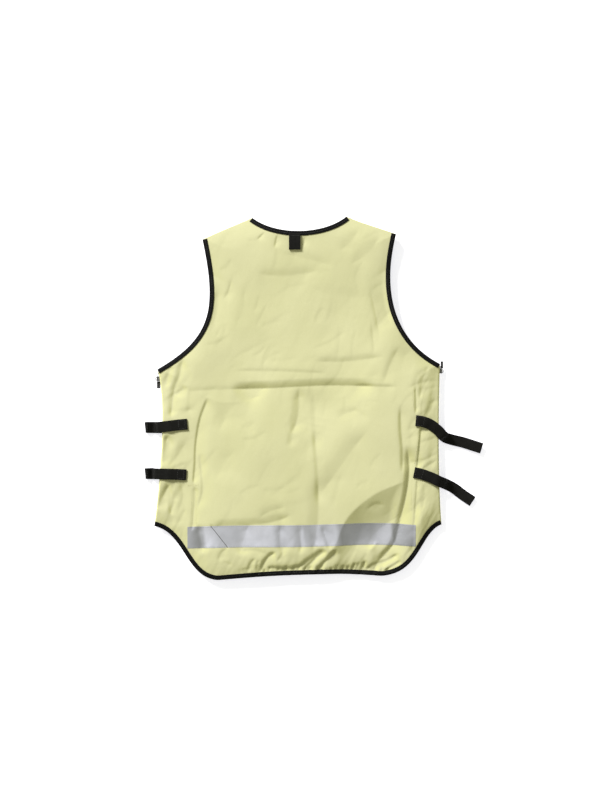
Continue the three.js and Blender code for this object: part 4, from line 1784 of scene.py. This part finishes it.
@dataclass
class Strap:
    """One of the four side straps, from its sewn end outwards."""

    name: str
    rows: Sequence[StrapRow]
    folded: bool = False
    width: float = 20.0
    wall: float = 1.3
    steps: int = 10
    fold_x: float = -284.5
    fold_radius: float = 3.4
    hidden_leg: float = 52.0
    hidden_drop: float = -1.5
    floor_gap: float = 0.4
    knot_reach: float = 3.0
    clear: float = 0.35
    eases: int = 6
    sewn: tuple[float, float] = (2.5, 15.0)
    stitch_inset: float = 2.0
    stitch_lift: float = 0.3
    turn_row: float = 5.5

    def laid(self, back: Surface) -> tuple[np.ndarray, np.ndarray]:
        """The route over the back and the floor.

        Args:
            back: The surface of the back.

        Returns:
            The points and the rolls.
        """
        knots = []
        for row in self.rows:
            under = back.support(row.x, row.y, self.knot_reach)
            knots.append((row.x, row.y, under + row.rise + self.wall / 2, math.radians(row.roll)))
        line = spline(knots, self.steps)
        for point in line:
            under = back.support(point[0], point[1], self.width / 2)
            lean = self.width / 2 * math.sin(abs(point[3]))
            point[2] = max(point[2], under + self.clear + self.wall / 2 + lean)
        for _ in range(self.eases):
            line[1:-1, 2] = np.maximum(line[1:-1, 2], (line[:-2, 2] + line[2:, 2]) / 2)
        return line[:, :3], line[:, 3]

    def turned_under(self, points: np.ndarray) -> np.ndarray:
        """The part that turns round the side and lies under the vest.

        Args:
            points: The route over the back.

        Returns:
            The points of the turn and of the hidden leg.
        """
        y = points[-1, 1]
        lowest = self.floor_gap + self.wall / 2
        middle = np.array([self.fold_x + self.fold_radius, lowest + self.fold_radius])
        found = []
        for degrees in range(90, 271, 15):
            angle = math.radians(degrees)
            x = middle[0] + self.fold_radius * math.cos(angle)
            z = middle[1] + self.fold_radius * math.sin(angle)
            found.append((x, y + self.hidden_drop * (degrees - 90) / 360, z))
        for share in np.linspace(0.1, 1.0, 10):
            drop = self.hidden_drop * (0.5 + 0.5 * share)
            found.append((middle[0] + self.hidden_leg * share, y + drop, lowest))
        return np.array(found)

    def build(self, back: Surface, finishes: Finishes, thread: Stitching) -> bpy.types.Object:
        """Builds the strap and sews its inner end down.

        Args:
            back: The surface of the back.
            finishes: The materials of the vest.
            thread: The thread that the strap is sewn with.

        Returns:
            The piece.
        """
        points, rolls = self.laid(back)
        if self.folded:
            under = self.turned_under(points)
            points = np.vstack([points, under])
            rolls = np.concatenate([rolls, np.zeros(len(under))])
        route = Route(points, rolls)
        strap = Webbing(self.name, self.name, self.width, self.wall)
        piece = strap.build(route, finishes)
        self._sew(route, thread)
        flat = (self.width * MM, line_length(points) * MM)
        return piece

    def _sew(self, route: Route, thread: Stitching) -> None:
        """Adds a box of stitches at the sewn end, and a row by the turn of a folded strap.

        Args:
            route: The strap's route.
            thread: The thread that it is sewn with.
        """
        widths = route.widths()
        lift = np.array([0.0, 0.0, self.wall / 2 + self.stitch_lift])
        inner = self.width / 2 - self.stitch_inset
        first, last = (int(step) for step in np.searchsorted(distances(route.points), self.sewn))
        for sign in (-1, 1):
            thread.run(route.points[first : last + 1] + lift + sign * inner * widths[first : last + 1])
        bars = [first, last]
        if self.folded:
            from_turn = route.points[:, 0] - self.fold_x - self.turn_row
            bars.append(int(np.argmin(np.abs(from_turn))))
        for bar in bars:
            ends = [route.points[bar] + lift + sign * inner * widths[bar] for sign in (-1, 1)]
            thread.run(np.array(ends))


STRAPS = (
    Strap(
        "strap_right_upper",
        (
            StrapRow(215, -40, 0.6),
            StrapRow(227, -41.5, 1.2, 6),
            StrapRow(242, -47, 2.0, 16),
            StrapRow(256, -57.5, 4.0, 20),
            StrapRow(267, -69, 9.0, 16),
            StrapRow(280, -74.5, 3.6, 6),
            StrapRow(304, -80.5, 2.2),
            StrapRow(323, -86.5, 4.0, 4),
            StrapRow(338.5, -91.5, 6.5, 6),
        ),
    ),
    Strap(
        "strap_right_lower",
        (
            StrapRow(212, -135.5, 0.6),
            StrapRow(226, -138.5, 1.2, 4),
            StrapRow(243, -144.5, 3.4, 10),
            StrapRow(259, -152, 4.6, 8),
            StrapRow(273, -158, 6.5, 2),
            StrapRow(288, -166, 2.4),
            StrapRow(304, -178, 2.0),
            StrapRow(322, -190, 4.0, 4),
        ),
    ),
    Strap(
        "strap_left_upper",
        (
            StrapRow(-206, -46.5, 0.6),
            StrapRow(-224, -48, 0.6),
            StrapRow(-244, -50.5, 0.6),
            StrapRow(-262, -52.3, 0.9),
            StrapRow(-274, -52.4, 2.4),
        ),
        folded=True,
    ),
    Strap(
        "strap_left_lower",
        (
            StrapRow(-208, -140, 0.6),
            StrapRow(-226, -139, 0.6),
            StrapRow(-246, -138.5, 0.6),
            StrapRow(-266, -138, 0.9),
            StrapRow(-275, -138, 2.4),
        ),
        folded=True,
    ),
)


@dataclass
class NeckLoop:
    """The hanging loop: a short webbing folded double, with both ends under one row of stitches."""

    x: float = -8.0
    top: float = 305.0
    length: float = 30.0
    width: float = 21.0
    wall: float = 1.2
    bow: float = 0.7
    gap: float = 0.15
    stand: float = 1.25
    reach: float = 4.0
    stitch_inset: float = 1.5
    stitch_lift: float = 0.3
    name: str = "neck_loop"

    def build(self, back: Surface, finishes: Finishes, thread: Stitching) -> bpy.types.Object:
        """Builds the loop.

        Args:
            back: The surface of the back.
            finishes: The materials of the vest.
            thread: The thread that it is sewn with.

        Returns:
            The piece.
        """
        steps = np.linspace(0.0, 1.0, 13)
        radius = self.wall / 2 + self.gap
        run = self.length - radius - self.wall / 2
        ground = np.array([back.support(self.x, self.top - run * share, self.reach) for share in steps])
        ground = np.maximum(ground, np.linspace(ground[0], ground[-1], len(ground)))
        rest = ground + self.stand + self.bow * np.sin(math.pi * steps)
        under = [(self.x, self.top - run * s, z) for s, z in zip(steps, rest)]
        fold = []
        for degrees in range(-75, 90, 30):
            angle = math.radians(degrees)
            y = self.top - run - radius * math.cos(angle)
            fold.append((self.x, y, rest[-1] + radius + radius * math.sin(angle)))
        over = [(x, y, z + 2 * radius) for x, y, z in reversed(under)]
        points = np.array([*under, *fold, *over])
        route = Route(points, np.zeros(len(points)))
        piece = Webbing(self.name, self.name, self.width, self.wall).build(route, finishes)
        flat = (self.width * MM, line_length(points) * MM)
        row = points[-3] + np.array([0.0, 0.0, self.wall / 2 + self.stitch_lift])
        half = np.array([self.width / 2 - self.stitch_inset, 0.0, 0.0])
        thread.run(np.array([row - half, row + half]))
        return piece


@dataclass
class ReflectiveTape:
    """The band across the lower back, sewn along its edges."""

    left: float = -206.0
    right: float = 215.5
    width: float = 40.0
    wall: float = 0.14
    gap: float = 0.1
    spacing: float = 1.35
    hem: float = 2.0
    name: str = "reflective_tape"
    middle: Sequence[Point] = (
        (-206, -256),
        (-120, -253.5),
        (0, -252.5),
        (115, -249.5),
        (170, -250),
        (215.5, -252.5),
    )

    def build(self, back: Surface, finishes: Finishes, thread: Stitching) -> bpy.types.Object:
        """Builds the tape.

        Args:
            back: The surface of the back.
            finishes: The materials of the vest.
            thread: The thread that it is sewn with.

        Returns:
            The piece.
        """
        line = spline(self.middle, 30)
        columns = round((self.right - self.left) / self.spacing)
        line = at_shares(line, np.linspace(0.0, 1.0, columns + 1))
        rows = round(self.width / self.spacing)
        sheet = []
        for share in np.linspace(-0.5, 0.5, rows + 1):
            sheet.append(self._row(back, line, self.width * share, self.gap))
        length = self.right - self.left
        mesh = grid_mesh(placed(np.stack(sheet)), (length * MM, self.width * MM))
        piece = add_piece(mesh, self.name, finishes.reflective, [self.name])
        thicken(piece, self.wall, 1.0)
        self.width * MM
        inner = self.width / 2 - self.hem
        over = self.gap + self.wall + 0.05
        for offset in (-inner, inner):
            thread.run(self._row(back, line, offset, over))
        return piece

    @staticmethod
    def _row(back: Surface, line: np.ndarray, offset: float, over: float) -> np.ndarray:
        """A line along the tape, laid on the cloth.

        Args:
            back: The surface of the back.
            line: The tape's middle line in plan.
            offset: The distance from the middle line.
            over: The height over the cloth.

        Returns:
            The points, in millimetres.
        """
        return np.array([(x, y + offset, back.height(x, y + offset, BACK_SEAM) + over) for x, y in line])


@dataclass
class SideClosure:
    """What closes one side between the back and the front: a zip below, a seam on the shoulder."""

    side: Side
    zip_inset: float = 1.6
    zip_wall: float = 1.2
    pitch: float = 1.9
    tooth: tuple[float, float, float] = (2.2, 1.0, 2.8)
    end: float = 12.0
    end_stand: float = 3.0
    end_share: float = 0.93
    seam_bow: float = 1.6
    seam_inset: float = 0.35
    zip_bow: float = 0.4
    zip_steps: int = 150
    top_end: float = 3.6
    tooth_lean: float = 0.35
    stations: int = 90
    lanes: int = 7

    def _edges(self, panel: Panel, rows: slice) -> np.ndarray:
        """The outer edge of a panel on this side.

        Args:
            panel: The panel.
            rows: Which rows of its net.

        Returns:
            The points, in millimetres.
        """
        column = 0 if self.side is Side.LEFT else -1
        values = (panel.net.x, panel.net.y, panel.tops)
        return np.stack([value[rows, column] for value in values], axis=-1)

    def _wall(
        self,
        back: Panel,
        front: Panel,
        rows: tuple[slice, slice],
        inset: float,
        bow: float,
        end_stand: float = 0.0,
    ) -> np.ndarray:
        """A wall between the edges of the back and the front.

        Args:
            back: The back panel.
            front: The front panel.
            rows: The rows of the back's and of the front's net.
            inset: How far in from the edge the wall stands.
            bow: How far its middle stands out.
            end_stand: How much further out its last part stands.

        Returns:
            Rows of points from the lower edge to the upper edge.
        """
        shares = np.linspace(0.0, 1.0, self.stations)
        upper = at_shares(self._edges(back, rows[0]), shares) - np.array([0.0, 0.0, CLOTH_WALL])
        lower = at_shares(self._edges(front, rows[1]), shares)
        ahead = unit_steps(upper[:, :2])
        out = np.stack([ahead[:, 1], -ahead[:, 0], np.zeros(len(ahead))], axis=-1) * self.side.way
        past = end_stand * smoothstep(shares, self.end_share, 1.0)
        lanes = []
        for share in np.linspace(0.0, 1.0, self.lanes):
            stand = bow * math.sin(math.pi * share) - inset + past
            lanes.append(lower * (1 - share) + upper * share + out * stand[:, None])
        return np.stack(lanes)

    def zip(self, back: Panel, front: Panel, finishes: Finishes) -> bpy.types.Object:
        """Builds the zip's tapes with its closed coil.

        Args:
            back: The back panel.
            front: The front panel.
            finishes: The materials of the vest.

        Returns:
            The piece.
        """
        rows = (slice(0, back.net.underarm + 1), slice(0, front.net.underarm + 1))
        wall = self._wall(back, front, rows, self.zip_inset, self.zip_bow, self.end_stand)
        middle = self.lanes // 2
        length = line_length(wall[middle])
        shares = np.linspace(self.end / length, 1.0 - self.top_end / length, self.zip_steps)
        wall = np.stack([at_shares(lane, shares) for lane in wall])
        order = wall if self.side is Side.RIGHT else wall[:, ::-1]
        flat = (length * MM, float(np.ptp(wall[:, 0, 2])) * MM)
        mesh = grid_mesh(placed(order), flat)
        bmesh.ops.solidify(mesh, geom=mesh.faces[:], thickness=self.zip_wall * MM)
        self._teeth(mesh, wall[middle])
        name = f"side_zip_{self.side.value}"
        return add_piece(mesh, name, finishes.coil, [name])

    def _teeth(self, mesh: bmesh.types.BMesh, line: np.ndarray) -> None:
        """Adds the coil to the zip's mesh.

        Args:
            mesh: The mesh of the zip.
            line: The middle line of the zip.
        """
        count = round(line_length(line) / self.pitch)
        depth, width, height = (size * MM for size in self.tooth)
        scale = Matrix.Diagonal((depth, width, height, 1.0))
        for index, (middle, heading) in enumerate(zip(*spaced(line, count))):
            ahead = Vector((heading[0], heading[1], 0.0)).normalized()
            out = Vector((ahead.y, -ahead.x, 0.0)) * self.side.way
            turn = Matrix((out, ahead, out.cross(ahead))).transposed().to_4x4()
            lean = Matrix.Rotation(self.tooth_lean if index % 2 else -self.tooth_lean, 4, "X")
            place = Matrix.Translation(Vector(placed(middle)))
            matrix = place @ turn @ lean @ scale
            bmesh.ops.create_icosphere(mesh, subdivisions=1, radius=0.5, matrix=matrix)

    def shoulder(self, back: Panel, front: Panel, finishes: Finishes) -> bpy.types.Object:
        """Builds the closed shoulder seam.

        Args:
            back: The back panel.
            front: The front panel.
            finishes: The materials of the vest.

        Returns:
            The piece.
        """
        rows = (slice(back.net.shoulder, None), slice(front.net.shoulder, None))
        wall = self._wall(back, front, rows, self.seam_inset, self.seam_bow)
        order = wall if self.side is Side.RIGHT else wall[:, ::-1]
        mesh = grid_mesh(placed(order))
        name = f"shoulder_seam_{self.side.value}"
        piece = add_piece(mesh, name, finishes.cloth, [name])
        thicken(piece, CLOTH_WALL, -1.0)
        return piece


@dataclass
class ZipSlider:
    """The slider of one side zip with its pull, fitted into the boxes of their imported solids."""

    side: Side
    shell: float = 0.8
    sunk: float = 0.3
    body_corner: float = 0.405
    tab_corner: float = 0.315
    ring: float = 0.55
    ring_inset: float = 0.4
    arch_share: float = 0.3

    def build(self, finishes: Finishes) -> list[bpy.types.Object]:
        """Builds the slider and the pull.

        Args:
            finishes: The materials of the vest.

        Returns:
            The two pieces.
        """
        slider = f"zip_slider_{self.side.value}"
        pull = f"zip_pull_{self.side.value}"
        body = self._block(slider, self.body_corner, 4)
        self._bail(body, slider)
        tab = self._block(pull, self.tab_corner, 3)
        return [
            add_piece(body, slider, finishes.metal, [slider]),
            add_piece(tab, pull, finishes.rubber, [pull]),
        ]

    def _block(self, node: str, corner: float, segments: int) -> bmesh.types.BMesh:
        """A rounded block with a sunk top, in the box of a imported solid.

        Args:
            node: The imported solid.
            corner: The width of its rounded edges, in millimetres.
            segments: Steps round each edge.

        Returns:
            The mesh.
        """
        low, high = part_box(node)
        mesh = bmesh.new()
        size = Matrix.Diagonal((*(high - low), 1.0))
        bmesh.ops.create_cube(mesh, size=1.0, matrix=Matrix.Translation((low + high) / 2) @ size)
        sunk = [face for face in mesh.faces if face.normal.z > 0.9]
        bmesh.ops.inset_region(mesh, faces=sunk, thickness=self.shell * MM, depth=0.0)
        moved = [vertex for face in sunk for vertex in face.verts]
        bmesh.ops.translate(mesh, verts=moved, vec=(0.0, 0.0, -self.sunk * MM))
        hard = [edge for edge in mesh.edges if edge.calc_face_angle(0.0) > 0.7]
        bmesh.ops.bevel(
            mesh,
            geom=hard,
            offset=corner * MM,
            segments=segments,
            profile=0.5,
            affect="EDGES",
            material=-1,
        )
        return mesh

    def _bail(self, mesh: bmesh.types.BMesh, node: str) -> None:
        """Adds the arch that the pull hangs on.

        Args:
            mesh: The mesh of the slider.
            node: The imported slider.
        """
        low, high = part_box(node)
        middle = (low + high) / 2
        outer = high.x if self.side is Side.RIGHT else low.x
        reach = self.arch_share * (high.y - low.y)
        start = Vector((outer - self.ring_inset * MM * self.side.way, middle.y - reach, middle.z))
        turn = Matrix.Rotation(math.pi / 2, 4, "Y")
        ring = bmesh.ops.create_circle(
            mesh, segments=8, radius=self.ring * MM, matrix=Matrix.Translation(start) @ turn
        )
        edges = {edge for vertex in ring["verts"] for edge in vertex.link_edges}
        bmesh.ops.spin(
            mesh,
            geom=[*ring["verts"], *edges],
            cent=(start.x, middle.y, middle.z),
            axis=(0.0, 0.0, float(self.side.way)),
            angle=math.pi,
            steps=10,
        )


@dataclass
class Studio:
    """The camera over the vest, the soft light and the floor."""

    pixel: float = 1.85
    frame_height: float = 800.0
    middle: Point = (1.85, -1.85)
    distance: float = 2500.0
    level: float = 10.0
    sensor: float = 36.0
    key_turn: float = 127.0
    key_height: float = 27.0
    key_strength: float = 5.4
    key_distance: float = 9.0
    key_size: float = 2.4
    fill_strength: float = 0.37
    fill_colour: Colour = (1.0, 1.0, 0.78)
    floor_size: float = 14.0
    floor_gap: float = 0.3
    floor_glow: float = 0.7
    floor_tint: Colour = (0.9, 0.9, 1.0)

    def build(self) -> None:
        """Builds the studio."""
        self._camera()
        self._light()
        self._floor()
        bpy.context.scene.view_settings.view_transform = "Standard"

    def _camera(self) -> None:
        """Sets the camera straight over the vest."""
        data = bpy.data.cameras.new("camera")
        data.sensor_width = self.sensor
        data.lens = self.sensor * self.distance / (self.frame_height * self.pixel)
        camera = bpy.data.objects.new("camera", data)
        camera.location = Vector(placed((*self.middle, self.level + self.distance)))
        bpy.context.scene.collection.objects.link(camera)
        bpy.context.scene.camera = camera

    def _light(self) -> None:
        """Sets a round key light at the upper left and an even fill."""
        data = bpy.data.lights.new("key", "AREA")
        data.shape = "DISK"
        data.size = self.key_size
        data.energy = self.key_strength * math.pi * self.key_distance**2
        turn = math.radians(self.key_turn)
        height = math.radians(self.key_height)
        level = math.cos(height)
        towards = Vector((math.cos(turn) * level, math.sin(turn) * level, math.sin(height)))
        key = bpy.data.objects.new("key", data)
        key.location = towards * self.key_distance
        key.rotation_mode = "QUATERNION"
        key.rotation_quaternion = towards.to_track_quat("Z", "Y")
        bpy.context.scene.collection.objects.link(key)
        world = bpy.data.worlds.new("studio")
        world.use_nodes = True
        sky = world.node_tree.nodes["Background"]
        sky.inputs["Color"].default_value = (*self.fill_colour, 1.0)
        sky.inputs["Strength"].default_value = self.fill_strength
        bpy.context.scene.world = world

    def _floor(self) -> None:
        """Lays the pale floor."""
        mesh = bmesh.new()
        down = Matrix.Translation((0.0, 0.0, -self.floor_gap * MM))
        bmesh.ops.create_grid(mesh, x_segments=8, y_segments=8, size=self.floor_size / 2, matrix=down)
        data = bpy.data.meshes.new("floor")
        mesh.to_mesh(data)
        mesh.free()
        recipe = Recipe("pale_floor")
        grain = recipe.noise(recipe.coordinates("Object"), 3.0, 2.0)
        tone = recipe.ramp(grain, ((0.3, (0.90, 0.90, 0.905)), (0.7, (0.92, 0.92, 0.92))))
        tint = (*self.floor_tint, 1.0)
        glow = {"Roughness": 0.9, "Emission Color": tint, "Emission Strength": self.floor_glow}
        data.materials.append(recipe.dress({"Base Color": tone}, glow))
        floor = bpy.data.objects.new("floor", data)
        bpy.context.scene.collection.objects.link(floor)


# Ends of the bar tacks and seams along the two pockets, with the points along each one
POCKET_SEAMS = (
    ((-206, -159), (-185, -158)),
    ((-206, -160.4), (-185, -159.4)),
    ((-200, -164), (-197, -232)),
    ((-191, -164), (-190, -232)),
    ((208, 14), (212, -26)),
    ((222, -62), (213, -120)),
    ((208, -160), (206, -226)),
)
POCKET_SEAM_STEPS = 24

# Height of the thread of the pockets over the cloth
THREAD_LIFT = 0.1


def sew_pocket_lines(back: Surface, thread: Stitching) -> None:
    """Adds the bar tacks and seam stitches of the two pocket lines.

    Args:
        back: The surface of the back.
        thread: The thread of the cloth's colour.
    """
    for line in POCKET_SEAMS:
        points = at_shares(np.array(line, float), np.linspace(0.0, 1.0, POCKET_SEAM_STEPS))
        thread.run(np.array([(x, y, back.height(x, y, BACK_SEAM) + THREAD_LIFT) for x, y in points]))


def main() -> None:
    """Builds the vest and its studio."""
    logging.basicConfig(level=logging.INFO, format="%(name)s: %(message)s")
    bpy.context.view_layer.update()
    finishes = Finishes()
    Studio().build()

    back_net = Net(BACK_CUT, BACK_COLUMNS, BACK_FINENESS)
    front_net = Net(FRONT_CUT, FRONT_COLUMNS, FRONT_FINENESS)
    back = Panel("vest_back", back_net, back_tops(back_net), BACK_NODES, rim_only=True)
    front_rest = front_tops(front_net) - SOLID_WALL + CLOTH_WALL
    front = Panel("vest_front", front_net, front_rest, ("front_panel",))
    back.build(finishes)
    front.build(finishes)

    black = Stitching("black_stitches", Slot.BINDING)
    yellow = Stitching("yellow_stitches", Slot.CLOTH)
    grey = Stitching("grey_stitches", Slot.REFLECTIVE, width=0.45, height=0.25)
    for edge in Edge:
        name = f"{edge.value}_binding"
        over = Binding(back, edge, f"{name}_back", f"{name}_back")
        under = Binding(front, edge, f"{name}_front", f"{name}_front")
        over.build(finishes, black)
        under.build(finishes, None)
    NeckLoop().build(back.surface, finishes, black)
    ReflectiveTape().build(back.surface, finishes, grey)
    for strap in STRAPS:
        strap.build(back.surface, finishes, black)
    for side in Side:
        closure = SideClosure(side)
        closure.zip(back, front, finishes)
        closure.shoulder(back, front, finishes)
        ZipSlider(side).build(finishes)
    sew_pocket_lines(back.surface, yellow)
    black.build(finishes.black_thread)
    yellow.build(finishes.yellow_thread)
    grey.build(finishes.grey_thread)
    back.declare()
    front.declare()


if __name__ == "__main__":
    main()
